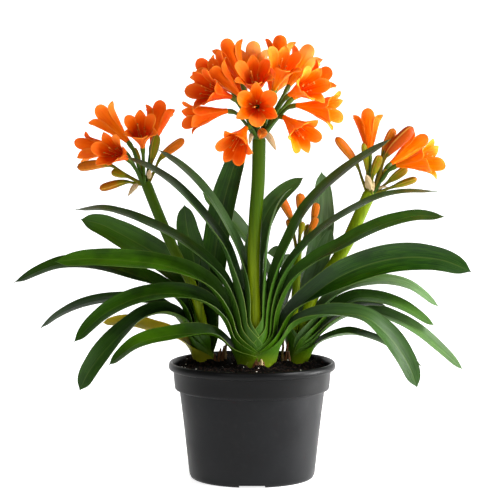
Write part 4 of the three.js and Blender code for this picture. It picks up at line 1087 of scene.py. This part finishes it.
def bloom_sheet(opened, bloom):
    """The middle surface of a bloom: a tube that parts into six petals. In the bloom's own frame."""
    across, tube_rows, petal_rows = 8, 6, 18
    ring = 6 * across
    points, faces = [], []
    fields = {"across": [], "along": [], "inner": [], "own": []}

    def put(point, w, t, inner, own):
        points.append(point)
        for name, value in zip(fields, (w, t, inner, own)):
            fields[name].append(value)
        return len(points) - 1

    rows = []
    for i in range(tube_rows + 1):
        t = i / tube_rows
        radius = mix(bloom.foot_radius, bloom.tube_radius, t ** 1.35)
        row = []
        for j in range(ring):
            angle = 2 * math.pi * j / ring
            w = 2 * ((j % across) / across) - 1
            swell = 1 + 0.05 * t * math.cos(6 * angle)
            place = Vector((
                radius * swell * math.cos(angle), radius * swell * math.sin(angle), bloom.tube * t))
            row.append(put(place, w, TUBE_SHARE * t, 1.0 if (j // across) % 2 == 0 else 0.0, 0.5))
        rows.append(row)
    for near, far in zip(rows, rows[1:]):
        for j in range(ring):
            following = (j + 1) % ring
            faces.append([near[j], near[following], far[following], far[j]])

    for petal in range(6):
        kind = "inner" if petal % 2 == 0 else "outer"
        half = (bloom.inner_width if kind == "inner" else bloom.outer_width) / 2 * random.uniform(0.92, 1.06)
        spread = opened * random.uniform(0.94, 1.06)
        own = random.random()
        swing = math.radians(random.uniform(-3, 3))
        ripple = random.uniform(0.3, 0.9) * MM
        phase = random.uniform(0, 6.28)
        curl = random.uniform(-0.5, 1.6) * MM
        line = [(bloom.foot_radius * 1.7, bloom.tube * 0.5), (bloom.tube_radius, bloom.tube)]
        line += [(mix(bloom.tube_radius, r * MM, spread), z * MM) for r, z in PETAL_LINES[kind]]
        path = Path([(r, 0, z) for r, z in line])
        start = path.marks[Path.STEPS] / path.length
        middle = (2 * petal + 1) * math.pi / 6
        before = [rows[-1][(petal * across + k) % ring] for k in range(across + 1)]
        for i in range(1, petal_rows + 1):
            s = 1 - (1 - i / petal_rows) ** 1.25
            here = path.at(mix(start, 1, s))
            lean = path.heading(mix(start, 1, s))
            lean_angle = mix(THROAT_LEAN, math.atan2(lean.x, lean.z), smooth(0, 0.2, s))
            width = petal_width(kind, half, here.x, s)
            cup = mix(here.x, CUP[kind], smooth(0.35, 0.85, s))
            layer = (-0.5 if kind == "inner" else 0.5) * MM * smooth(0, 0.25, s)
            row = []
            for k in range(across + 1):
                w = 2 * k / across - 1
                x = w * width / cup
                keel = 0.5 * MM * math.exp(-(w / 0.2) ** 2) * smooth(0, 0.2, s) * (1 - 0.7 * s)
                frill = ripple * math.sin(phase + 9 * s + (2 if w > 0 else 0)) * w * w * smooth(0.3, 0.7, s)
                out = layer - cup * (1 - math.cos(x)) + keel + frill + curl * smooth(0.7, 1, s)
                side = cup * math.sin(x)
                radius = here.x + out * math.cos(lean_angle)
                z = here.z - out * math.sin(lean_angle)
                angle = middle + swing * smooth(0.1, 1, s)
                place = Vector((radius * math.cos(angle) - side * math.sin(angle),
                                radius * math.sin(angle) + side * math.cos(angle), z))
                if s == 1 and k > 0:
                    row.append(row[0])
                else:
                    row.append(put(
                        place, w if s < 1 else 0.0, mix(TUBE_SHARE, 1, s), float(kind == "inner"), own))
            for k in range(across):
                face = [before[k], before[k + 1], row[k + 1], row[k]]
                faces.append(face if s < 1 else face[:3])
            before = row
    return points, faces, fields


def petal_finish(bloom):
    silk = Finish("petal_silk", Roughness=0.5, Specular_IOR_Level=0.03,
                  Subsurface_Weight=0.5, Subsurface_Radius=(0.003, 0.0014, 0.0002), Subsurface_Scale=1.0)
    across, along, inner = silk.field("across"), silk.field("along"), silk.field("inner")
    own, warmth_and_light, inside = silk.field("own"), silk.field("warmth_and_light"), silk.field("inside")
    edge = silk.math("ABSOLUTE", across)
    where = silk.joined(silk.math("MULTIPLY", across, 5.0), silk.math("MULTIPLY", along, 1.6),
                        silk.math("MULTIPLY", own, 40.0))
    veins = silk.noise(where, 1.7, 3, 0.6)
    cloud = silk.noise(silk.where(), 60, 2)
    # Painted light in part: the warmth makes the blooms on the lit right side lighter and yellower, with
    # stronger pale margins, and those on the shaded left deeper red.
    hue = silk.math("ADD", warmth_and_light, silk.math("MULTIPLY", silk.math("SUBTRACT", cloud, 0.5), 0.5))
    base = silk.blend(silk.ramp(hue, 0.0, 0.5), bloom.deep, bloom.orange)
    base = silk.blend(silk.ramp(hue, 0.45, 1.0), base, bloom.light)
    base = silk.blend(silk.ramp(veins, 0.48, 0.76, 0.0, 0.45), base, bloom.throat)
    pale = silk.math("ADD", silk.ramp(edge, 0.6, 1.0, 0.0, 0.4), silk.ramp(along, 0.72, 1.0, 0.0, 0.45))
    base = silk.blend(silk.math("MULTIPLY", pale, silk.ramp(warmth_and_light, 0.0, 1.0, 0.6, 1.0)), base, bloom.tip)
    creamy = silk.math("MULTIPLY", silk.ramp(warmth_and_light, 1.0, 1.6), silk.ramp(along, 0.55, 0.85))
    base = silk.blend(creamy, base, bloom.cream)
    throat = silk.math("MULTIPLY", inside, silk.ramp(along, 0.3, 0.55, 0.1, 0.0))
    base = silk.blend(throat, base, bloom.throat)
    sunlit = silk.math("MULTIPLY", silk.ramp(own, 0.55, 1.0, 0.0, 0.45), silk.ramp(along, 0.45, 0.8))
    base = silk.blend(sunlit, base, bloom.tip)
    rib = silk.math("MULTIPLY", silk.ramp(edge, 0.0, 0.14, 0.45, 0.0), silk.ramp(along, 0.35, 0.9, 1.0, 0.2))
    base = silk.blend(rib, base, bloom.throat)
    green = silk.math("MULTIPLY", silk.ramp(along, 0.965, 1.0), silk.math("SUBTRACT", 1.0, inner))
    base = silk.blend(silk.math("MULTIPLY", green, 0.8), base, paint(120, 110, 60))
    return silk.done(base, None, silk.bump(veins, 0.25, 0.0006))


def build_blooms(bloom):
    silk = petal_finish(bloom)
    for name, (_, foot, faces_way, opened, warmth_and_light) in BLOOMS.items():
        random.seed(name)
        points, faces, fields = bloom_sheet(opened, bloom)
        turn = Vector((0, 0, 1)).rotation_difference(Vector(faces_way).normalized()).to_matrix()
        points = [turn @ p + Vector(foot) * MM for p in points]
        verts, faces = thicken(points, faces, [bloom.sheet] * len(points))
        size = len(points)
        fields = {key: values * 2 for key, values in fields.items()}
        fields["inside"] = [0.0] * size + [1.0] * size
        fields["warmth_and_light"] = [warmth_and_light] * (2 * size)
        finished(body(name + "_petals", verts, faces, silk, fields, 75), "petal", name)


def stamen_tree():
    """Six stamens and a style for each point, turned to the way that its bloom faces."""
    tree, add, given = tree_named("Stamens", [
        ("Stamens", "Int"), ("Filament Radius", "Float"), ("Anther", "Vector"), ("Filament", "Material"),
        ("Anther Finish", "Material")])

    def thread(start, middle, end, thick):
        line = add("GeometryNodeCurveQuadraticBezier", {0: 7, 1: start, 2: middle, 3: end}).outputs[0]
        ring = add("GeometryNodeCurvePrimitiveCircle", {"Resolution": 5, "Radius": thick})
        return add("GeometryNodeCurveToMesh", {
            "Curve": line, "Profile Curve": ring.outputs["Curve"], "Fill Caps": True}).outputs[0]

    def blob(place, size, tilt):
        ball = add("GeometryNodeMeshUVSphere", {"Segments": 8, "Rings": 6, "Radius": 1.0}).outputs[0]
        return add("GeometryNodeTransform", {
            "Geometry": ball, "Translation": place, "Rotation": tilt, "Scale": size}).outputs[0]

    tip = (5.6 * MM, 0, 36 * MM)
    filament = thread((4.2 * MM, 0, 15 * MM), (4.4 * MM, 0, 27 * MM), tip, given["Filament Radius"])
    anther = add("GeometryNodeStoreNamedAttribute", {
        "Geometry": blob(tip, given["Anther"], (0, 1.2, 0)), "Name": "pollen", "Value": 1.0},
        data_type="FLOAT")
    stamen = add("GeometryNodeJoinGeometry").inputs[0]
    tree.links.new(filament, stamen)
    tree.links.new(anther.outputs[0], stamen)
    ring = add("GeometryNodeMeshCircle", {"Vertices": given["Stamens"], "Radius": 0.0001}).outputs[0]
    turn = add("ShaderNodeMath", {0: 2 * math.pi, 1: given["Stamens"]}, operation="DIVIDE").outputs[0]
    turn = add("ShaderNodeMath", {0: turn, 1: add("GeometryNodeInputIndex").outputs[0]}, operation="MULTIPLY")
    jitter = add("FunctionNodeRandomValue", {0: (-0.06, -0.1, -0.2), 1: (0.06, 0.16, 0.2), 8: 3},
                 data_type="FLOAT_VECTOR").outputs[0]
    turn = add("ShaderNodeCombineXYZ", {2: turn.outputs[0]}).outputs[0]
    turn = add("ShaderNodeVectorMath", {0: turn, 1: jitter}, operation="ADD").outputs[0]
    stretch = add("FunctionNodeRandomValue", {2: 0.88, 3: 1.1, 8: 8}, data_type="FLOAT").outputs[1]
    ring = add("GeometryNodeInstanceOnPoints", {
        "Points": ring, "Instance": stamen.node.outputs[0],
        "Rotation": add("FunctionNodeEulerToRotation", {0: turn}).outputs[0], "Scale": stretch}).outputs[0]
    style = thread((0, 0, 12 * MM), (0.3 * MM, 0, 30 * MM), (2.6 * MM, 0, 46 * MM), given["Filament Radius"])
    whole = add("GeometryNodeJoinGeometry").inputs[0]
    for part in (ring, style, blob((2.7 * MM, 0, 46.6 * MM), (0.0009, 0.0009, 0.0007), (0, 0, 0))):
        tree.links.new(part, whole)
    way = add("GeometryNodeInputNamedAttribute", {"Name": "way"}, data_type="FLOAT_VECTOR").outputs[0]
    roll = add("FunctionNodeRandomValue", {0: (0, 0, -3.1), 1: (0, 0, 3.1), 8: 17},
               data_type="FLOAT_VECTOR").outputs[0]
    aim = add("FunctionNodeAlignRotationToVector", {"Vector": way}, axis="Z").outputs[0]
    roll = add("FunctionNodeEulerToRotation", {0: roll}).outputs[0]
    aim = add("FunctionNodeRotateRotation", {0: aim, 1: roll}, rotation_space="LOCAL").outputs[0]
    sets = add("GeometryNodeInstanceOnPoints", {
        "Points": given["Geometry"], "Instance": whole.node.outputs[0], "Rotation": aim}).outputs[0]
    sets = add("GeometryNodeRealizeInstances", {0: sets}).outputs[0]
    sets = add("GeometryNodeSetMaterial", {"Geometry": sets, "Material": given["Filament"]}).outputs[0]
    pollen = add("GeometryNodeInputNamedAttribute", {"Name": "pollen"}, data_type="FLOAT").outputs[0]
    ripe = add("FunctionNodeCompare", {0: pollen, 1: 0.5},
               data_type="FLOAT", operation="GREATER_THAN").outputs[0]
    sets = add("GeometryNodeSetMaterial", {
        "Geometry": sets, "Selection": ripe, "Material": given["Anther Finish"]}).outputs[0]
    add("NodeGroupOutput", {0: sets})
    return tree


def speckled(name, light, dark, scale, roughness):
    """A finish of two close colours in small specks."""
    stuff = Finish(name, Roughness=roughness, Specular_IOR_Level=0.4)
    grain = stuff.noise(stuff.where(), scale, 3)
    base = stuff.blend(stuff.ramp(grain, 0.35, 0.65), light, dark)
    return stuff.done(base, None, stuff.bump(grain, 0.4, 0.0004))


def build_stamens(bloom):
    filament = speckled("filament_orange", bloom.filament, bloom.light, 400, 0.5)
    anther = speckled("anther_pollen", bloom.anther, paint(214, 150, 50), 1400, 0.8)
    tree = stamen_tree()
    for head in CROWNS:
        rows = [row for row in BLOOMS.values() if row[0] == head]
        piece = body(f"stamens_{head}", [Vector(row[1]) * MM for row in rows], [], filament)
        ways = [c for row in rows for c in Vector(row[2]).normalized()]
        piece.data.attributes.new("way", "FLOAT_VECTOR", "POINT").data.foreach_set("vector", ways)
        run_tree(piece, tree, {
            "Stamens": 6, "Filament Radius": 0.34 * MM, "Anther": (0.0006, 0.0006, 0.0013),
            "Filament": filament, "Anther Finish": anther})
        outwards(piece)
        piece.data.shade_smooth()
        finished(piece, "petal")


# ---------------------------------------------------------------- stalks, pedicels, buds and bracts

def stalk_finish(stalk):
    rind = Finish("stalk_rind", Roughness=0.4, Specular_IOR_Level=0.1)
    along = rind.field("along")
    streak = rind.noise(rind.where((420, 420, 9)), 1.0, 3, 0.55)
    base = rind.blend(rind.ramp(along, 0.1, 0.75, 0.9, 0.0), stalk.stalk, stalk.light)
    base = rind.blend(rind.math("MULTIPLY", rind.field("fresh"), 0.42), base, stalk.light)
    base = rind.blend(rind.ramp(streak, 0.4, 0.7, 0.0, 0.4), base, toned(stalk.stalk, 0.55))
    return rind.done(base, None, rind.bump(streak, 0.3, 0.0006))


def pedicel_finish(stalk):
    skin = Finish("pedicel_skin", Roughness=0.4, Specular_IOR_Level=0.2)
    cloud = skin.noise(skin.where(), 130, 3)
    base = skin.blend(skin.ramp(skin.field("along"), 0.6, 1.0, 0.0, 0.35), stalk.ovary_green, stalk.bud_green)
    base = skin.blend(skin.ramp(cloud, 0.35, 0.75, 0.0, 0.5), base, toned(stalk.ovary_green, 0.5))
    return skin.done(base, None, skin.bump(cloud, 0.2, 0.0005))


def bud_finish(stalk):
    skin = Finish("bud_skin", Roughness=0.42, Specular_IOR_Level=0.08)
    along, ripe, seam = skin.field("along"), skin.field("ripe"), skin.field("seam")
    streak = skin.noise(skin.where((1, 1, 0.4)), 420, 3)
    turned = skin.math("ADD", skin.math("MULTIPLY", skin.ramp(along, 0.0, 0.5, 0.4, 1.2), ripe),
                       skin.ramp(along, 0.9, 1.0, 0.0, 0.3))
    base = skin.blend(skin.ramp(turned, 0.25, 0.7), stalk.bud_green, stalk.bud_tip)
    base = skin.blend(skin.ramp(ripe, 1.0, 1.3, 0.0, 0.85), base, paint(160, 52, 0))
    base = skin.blend(skin.ramp(along, 0.0, 0.12, 0.85, 0.0), base, stalk.ovary_green)
    base = skin.blend(skin.ramp(seam, 0.75, 1.0, 0.0, 0.45), base, paint(236, 186, 84))
    base = skin.blend(skin.ramp(seam, -0.4, -1.0, 0.0, 0.3), base, paint(150, 62, 10))
    base = skin.blend(skin.ramp(streak, 0.45, 0.75, 0.0, 0.35), base, paint(130, 70, 16))
    base = skin.blend(skin.ramp(along, 0.93, 1.0, 0.0, 0.6), base, paint(96, 58, 22))
    return skin.done(base, None, skin.bump(streak, 0.25, 0.0005))


def paper_finish(name, light, dark):
    paper = Finish(name, Roughness=0.75, Specular_IOR_Level=0.3)
    across = paper.field("across")
    where = paper.joined(paper.math("MULTIPLY", across, 6.0), paper.field("along"), paper.field("pale"))
    veins = paper.noise(where, 3.0, 4, 0.6)
    base = paper.blend(paper.ramp(veins, 0.35, 0.7, 0.0, 0.8), light, dark)
    base = paper.blend(paper.ramp(paper.field("pale"), 0.3, 0.9, 0.0, 0.8), base, paint(236, 214, 160))
    return paper.done(base, None, paper.bump(veins, 0.5, 0.0006))


def limb_tree():
    """Round limbs along polylines, as thick as their girth says."""
    tree, add, given = tree_named("Limbs", [("Sides", "Int"), ("Skin", "Material")])
    curve = add("GeometryNodeMeshToCurve", {0: given["Geometry"]}).outputs[0]
    ring = add("GeometryNodeCurvePrimitiveCircle", {"Resolution": given["Sides"], "Radius": 1.0})
    girth = add("GeometryNodeInputNamedAttribute", {"Name": "girth"}, data_type="FLOAT").outputs[0]
    limbs = add("GeometryNodeCurveToMesh", {
        "Curve": curve, "Profile Curve": ring.outputs["Curve"], "Scale": girth, "Fill Caps": True}).outputs[0]
    limbs = add("GeometryNodeRealizeInstances", {0: limbs}).outputs[0]
    limbs = add("GeometryNodeSetMaterial", {"Geometry": limbs, "Material": given["Skin"]}).outputs[0]
    add("NodeGroupOutput", {0: limbs})
    return tree


def limbs(name, lines, skin, sides, tree):
    """One piece of round limbs. Each line is a path and a girth profile along it."""
    verts, edges, fields = [], [], {"girth": [], "along": []}
    steps = 18
    for path, profile in lines:
        start = len(verts)
        for i in range(steps + 1):
            t = i / steps
            verts.append(path.at(t))
            fields["girth"].append(read(profile, t))
            fields["along"].append(t)
        edges += [(start + i, start + i + 1) for i in range(steps)]
    mesh = bpy.data.meshes.new(name)
    mesh.from_pydata(verts, edges, [])
    for field, values in fields.items():
        mesh.attributes.new(field, "FLOAT", "POINT").data.foreach_set("value", values)
    piece = bpy.data.objects.new(name, mesh)
    bpy.context.scene.collection.objects.link(piece)
    run_tree(piece, tree, {"Sides": sides, "Skin": skin})
    outwards(piece)
    piece.data.shade_smooth()
    piece.data.set_sharp_from_angle(angle=math.radians(70))
    return piece


def pedicel_root(head, foot, stalk):
    """Where a pedicel springs from its stalk's top, on the side that it leans to."""
    _, radii, _, path = STALKS[head]
    top, foot = Vector(path[-1]) * MM, Vector(foot) * MM
    lean = Vector((foot.x - top.x, foot.y - top.y, 0)).normalized()
    return top + lean * radii[1] * MM * 0.45 - Vector((0, 0, stalk.sink))


def pedicel_line(row, stalk):
    """A pedicel from its stalk's top to its bloom, with the ovary at its end, and its girth."""
    head, foot, way, _, _ = row
    root = pedicel_root(head, foot, stalk)
    way, foot = Vector(way).normalized(), Vector(foot) * MM
    lean = (way * 0.55 + (foot - root).normalized() * 0.45).normalized()
    ovary_foot = foot - lean * stalk.ovary_length
    path = Path([root, root.lerp(ovary_foot, 0.5) + Vector((0, 0, 2.0 * MM)), ovary_foot, foot])
    start = 1 - stalk.ovary_length / path.length
    profile = [(0, stalk.pedicel * 1.35), (start * 0.5, stalk.pedicel), (start, stalk.pedicel * 1.1),
               (mix(start, 1, 0.3), stalk.ovary * 0.92), (mix(start, 1, 0.55), stalk.ovary),
               (mix(start, 1, 0.8), stalk.ovary), (1, 2.5 * MM)]
    return path, profile


def bud_body(row, stalk):
    """A bud with its pedicel: blunt, with a seam along each edge of its outer petals."""
    head, foot, tip, radius, ripe = row
    root, foot, tip = pedicel_root(head, foot, stalk), Vector(foot) * MM, Vector(tip) * MM
    path = Path([root, root.lerp(foot, 0.5), foot, tip])
    at = 1 - (tip - foot).length / path.length
    girth = radius * stalk.bud_girth * MM
    profile = [(0, stalk.pedicel * 1.1), (at * 0.75, stalk.pedicel * 0.8), (at * 0.94, stalk.pedicel * 1.1)]
    profile += [(mix(at, 1, x), girth * y) for x, y in (
        (0.0, 0.5), (0.12, 0.68), (0.28, 0.86), (0.48, 0.98), (0.7, 1.0), (0.84, 0.92), (0.93, 0.72),
        (0.98, 0.42), (1.0, 0.12))]
    swell = [(0, 0.0), (at, 0.0), (mix(at, 1, 0.3), 1.0), (1, 1.0)]
    sides, steps = 24, 46
    verts, faces, along = loft(
        path, lambda t: read(profile, t), sides, steps, ridge=lambda t: 0.06 * read(swell, t))
    seam = [math.cos(3 * 2 * math.pi * (i % sides) / sides) for i in range(len(verts))]
    bud = [max(0.0, (t - at) / (1 - at)) for t in along]
    return verts, faces, {"along": bud, "seam": seam, "ripe": [ripe] * len(verts)}


def flap(line, width, fold, ragged=0.0, steps=18, columns=8):
    """A thin flap along a line, in mm, folded across by an angle: pointed, or torn off if ragged."""
    path = Path([Vector(p) * MM for p in line])
    points, across_field, along_field = [], [], []
    side = Vector((0, -1, 0.2))
    seed = Vector(line[0])
    for i in range(steps + 1):
        t = i / steps
        along = path.heading(t)
        across = along.cross(side).normalized()
        out = across.cross(along)
        pointed = (1 - max(0.0, (t - 0.25) / 0.75) ** 1.8) ** 0.8
        half = width * MM / 2 * mix(pointed, 1.0, 0.6 * ragged) * (0.6 + 0.4 * smooth(0, 0.3, t))
        for k in range(columns + 1):
            w = 2 * k / columns - 1
            tear = 1 + 0.8 * ragged * noise.noise(seed + Vector((t * 7, 5.0 if w > 0 else 0.0, 0)))
            crease = mix(0.5, 1.1, ragged) * MM * math.sin(9 * w + 7 * t + seed.x)
            reach = max(half * tear, 0.15 * MM)
            torn = ragged * 2.2 * MM * noise.noise(seed + Vector((w * 2.6, 9.0, 0))) * t
            points.append(path.at(t) + along * torn + across * w * reach
                          + out * (crease * (1 - abs(w)) - fold * reach * w * w))
            across_field.append(w)
            along_field.append(t)
    verts, faces = thicken(points, grid_faces(steps + 1, columns + 1), [0.3 * MM] * len(points))
    return verts, faces, across_field * 2, along_field * 2


def stalk_radius(ends, t):
    """Radius along a stalk: from its foot's to its top's, rounded off at the very top."""
    return mix(ends[0], ends[1], smooth(0, 0.8, t)) * MM * (1 - 0.25 * smooth(0.985, 1, t))


def build_stems(stalk):
    rind, skin, bud_skin = stalk_finish(stalk), pedicel_finish(stalk), bud_finish(stalk)
    paper = paper_finish("bract_paper", stalk.paper, paint(150, 120, 96))
    tree = limb_tree()
    for crown in CROWNS:
        node = f"stem_{crown}"
        heads = [head for head, row in STALKS.items() if row[0] == crown]
        stalks, bracts = Gathered(), Gathered()
        for head in heads:
            _, radii, flat, line = STALKS[head]
            path = Path([Vector(p) * MM for p in line])
            verts, faces, places = loft(path, lambda t, ends=radii: stalk_radius(ends, t), 20, 60, flat)
            stalks.add(verts, faces, along=places, fresh=[1.0 if crown == "right" else 0.0] * len(verts))
        for row in (row for row in BRACTS if row[0] in heads):
            root, tip = Vector(row[1]), Vector(row[2])
            middle = root.lerp(tip, 0.5) + Vector((0, -2, 2))
            verts, faces, across, along = flap([root, middle, tip], row[3], 0.9)
            bracts.add(verts, faces, across=across, along=along, pale=[0.3] * len(verts))
        finished(body(f"stalks_{crown}", stalks.verts, stalks.faces, rind, stalks.fields), "stem", node)
        finished(body(f"bracts_{crown}", bracts.verts, bracts.faces, paper, bracts.fields), "stem", node)
        pedicels = [pedicel_line(row, stalk) for row in BLOOMS.values() if row[0] in heads]
        finished(limbs(f"pedicels_{crown}", pedicels, skin, 10, tree), "stem", node)
        buds = Gathered()
        for row in (row for row in BUDS if row[0] in heads):
            verts, faces, bud_fields = bud_body(row, stalk)
            buds.add(verts, faces, **bud_fields)
        finished(body(f"buds_{crown}", buds.verts, buds.faces, bud_skin, buds.fields), "stem", node)


def build_scales(stalk):
    husk = paper_finish("scale_husk", stalk.husk, paint(96, 58, 34))
    scales = Gathered()
    for line, width, pale in SCALES:
        verts, faces, across, along = flap(line, width, 0.6, 0.9)
        scales.add(verts, faces, across=across, along=along, pale=[pale] * len(verts))
    finished(body("dry_scales", scales.verts, scales.faces, husk, scales.fields), "stem")


# ---------------------------------------------------------------- studio

def build_studio(studio):
    """Paper floor that rises into a backdrop, soft lamps and the camera."""
    paper = Finish("studio_paper", Roughness=0.9, Specular_IOR_Level=0.1, Emission_Strength=0.8)
    tone = paper.noise(paper.where(), 3, 2)
    sweep = [(-4.0, 0.0), (2.6, 0.0), (3.2, 0.08), (3.7, 0.32), (4.0, 0.8), (4.1, 1.6), (4.1, 4.5)]
    verts = [Vector((x, y, z)) for y, z in sweep for x in (-5, -2, 0, 2, 5)]
    faces = grid_faces(len(sweep), 5)
    colour_now = paper.blend(tone, studio.paper, toned(studio.paper, 0.985))
    paper.link(colour_now, paper.shader.inputs["Emission Color"])
    material = paper.done(colour_now)
    body("studio_sweep", verts, faces, material)

    world = bpy.data.worlds.new("studio_room")
    bpy.context.scene.world = world
    world.use_nodes = True
    world.node_tree.nodes.clear()
    add = maker(world.node_tree)
    room = add("ShaderNodeBackground", {"Color": (1, 1, 1, 1), "Strength": studio.sky})
    add("ShaderNodeOutputWorld", {"Surface": room.outputs[0]})

    for name, place, aim, size, power in (
        ("key_lamp", (1.7, -0.7, 1.25), (0, 0, 0.3), (1.0, 1.2), studio.key),
        ("fill_lamp", (-0.9, -2.2, 1.3), (0, 0, 0.25), (1.6, 1.2), studio.fill),
        ("side_lamp", (2.0, 0.2, 0.12), (0, 0, 0.06), (0.8, 0.35), studio.rim),
    ):
        lamp = bpy.data.lights.new(name, "AREA")
        lamp.shape, lamp.size, lamp.size_y, lamp.energy = "RECTANGLE", *size, power
        holder = bpy.data.objects.new(name, lamp)
        holder.location = place
        holder.rotation_euler = (Vector(aim) - Vector(place)).to_track_quat("-Z", "Y").to_euler()
        bpy.context.scene.collection.objects.link(holder)

    lens = bpy.data.cameras.new("camera")
    lens.angle = studio.view
    lens.clip_end = 30
    camera = bpy.data.objects.new("camera", lens)
    camera.location = studio.camera
    camera.rotation_euler = Euler((math.pi / 2 - studio.down, 0, 0))
    bpy.context.scene.collection.objects.link(camera)
    bpy.context.scene.camera = camera
    bpy.context.scene.view_settings.view_transform = "Standard"


# ---------------------------------------------------------------- operators and panel

class CliviaStep:
    """One step of the build, run on the scene's settings."""

    bl_options = {"REGISTER"}

    def execute(self, context):
        type(self).step(context.scene.clivia)
        return {"FINISHED"}


class CLIVIA_OT_pot(CliviaStep, bpy.types.Operator):
    """Builds the moulded pot"""

    bl_idname = "clivia.pot"
    bl_label = "Pot"
    step = staticmethod(lambda clivia: build_pot(clivia.pot))


class CLIVIA_OT_soil(CliviaStep, bpy.types.Operator):
    """Fills the pot with soil and strews bark and grit on it"""

    bl_idname = "clivia.soil"
    bl_label = "Soil"
    step = staticmethod(lambda clivia: build_soil(clivia.soil))


class CLIVIA_OT_leaves(CliviaStep, bpy.types.Operator):
    """Builds every leaf with its sheath"""

    bl_idname = "clivia.leaves"
    bl_label = "Leaves"
    step = staticmethod(lambda clivia: build_leaves(clivia.leaf))


class CLIVIA_OT_stems(CliviaStep, bpy.types.Operator):
    """Builds the flower stalks, pedicels, buds and bracts"""

    bl_idname = "clivia.stems"
    bl_label = "Stalks and buds"
    step = staticmethod(lambda clivia: build_stems(clivia.stalk))


class CLIVIA_OT_blooms(CliviaStep, bpy.types.Operator):
    """Builds every open bloom"""

    bl_idname = "clivia.blooms"
    bl_label = "Blooms"
    step = staticmethod(lambda clivia: build_blooms(clivia.bloom))


class CLIVIA_OT_stamens(CliviaStep, bpy.types.Operator):
    """Puts stamens and a style in every bloom"""

    bl_idname = "clivia.stamens"
    bl_label = "Stamens"
    step = staticmethod(lambda clivia: build_stamens(clivia.bloom))


class CLIVIA_OT_scales(CliviaStep, bpy.types.Operator):
    """Lays the dry scales at the feet of the crowns"""

    bl_idname = "clivia.scales"
    bl_label = "Dry scales"
    step = staticmethod(lambda clivia: build_scales(clivia.stalk))


class CLIVIA_OT_studio(CliviaStep, bpy.types.Operator):
    """Sets up the floor, the lamps and the camera"""

    bl_idname = "clivia.studio"
    bl_label = "Studio"
    step = staticmethod(lambda clivia: build_studio(clivia.studio))


STEPS = [
    CLIVIA_OT_pot, CLIVIA_OT_soil, CLIVIA_OT_leaves, CLIVIA_OT_stems, CLIVIA_OT_blooms,
    CLIVIA_OT_stamens, CLIVIA_OT_scales, CLIVIA_OT_studio,
]


class CLIVIA_PT_build(bpy.types.Panel):
    """Lists the steps of the build"""

    bl_idname = "CLIVIA_PT_build"
    bl_label = "Clivia in its pot"
    bl_space_type = "VIEW_3D"
    bl_region_type = "UI"
    bl_category = "Clivia"

    def draw(self, context):
        column = self.layout.column(align=True)
        for step in STEPS:
            column.operator(step.bl_idname)


CLASSES = [
    CliviaPotSettings, CliviaSoilSettings, CliviaLeafSettings, CliviaBloomSettings, CliviaStalkSettings,
    CliviaStudioSettings, CliviaSettings, *STEPS, CLIVIA_PT_build,
]


def register():
    for cls in CLASSES:
        bpy.utils.register_class(cls)
    bpy.types.Scene.clivia = PointerProperty(type=CliviaSettings)


def unregister():
    del bpy.types.Scene.clivia
    for cls in reversed(CLASSES):
        bpy.utils.unregister_class(cls)


def main():
    register()
    bpy.ops.clivia.pot()
    bpy.ops.clivia.soil()
    bpy.ops.clivia.leaves()
    bpy.ops.clivia.stems()
    bpy.ops.clivia.blooms()
    bpy.ops.clivia.stamens()
    bpy.ops.clivia.scales()
    bpy.ops.clivia.studio()


if __name__ == "__main__":
    main()
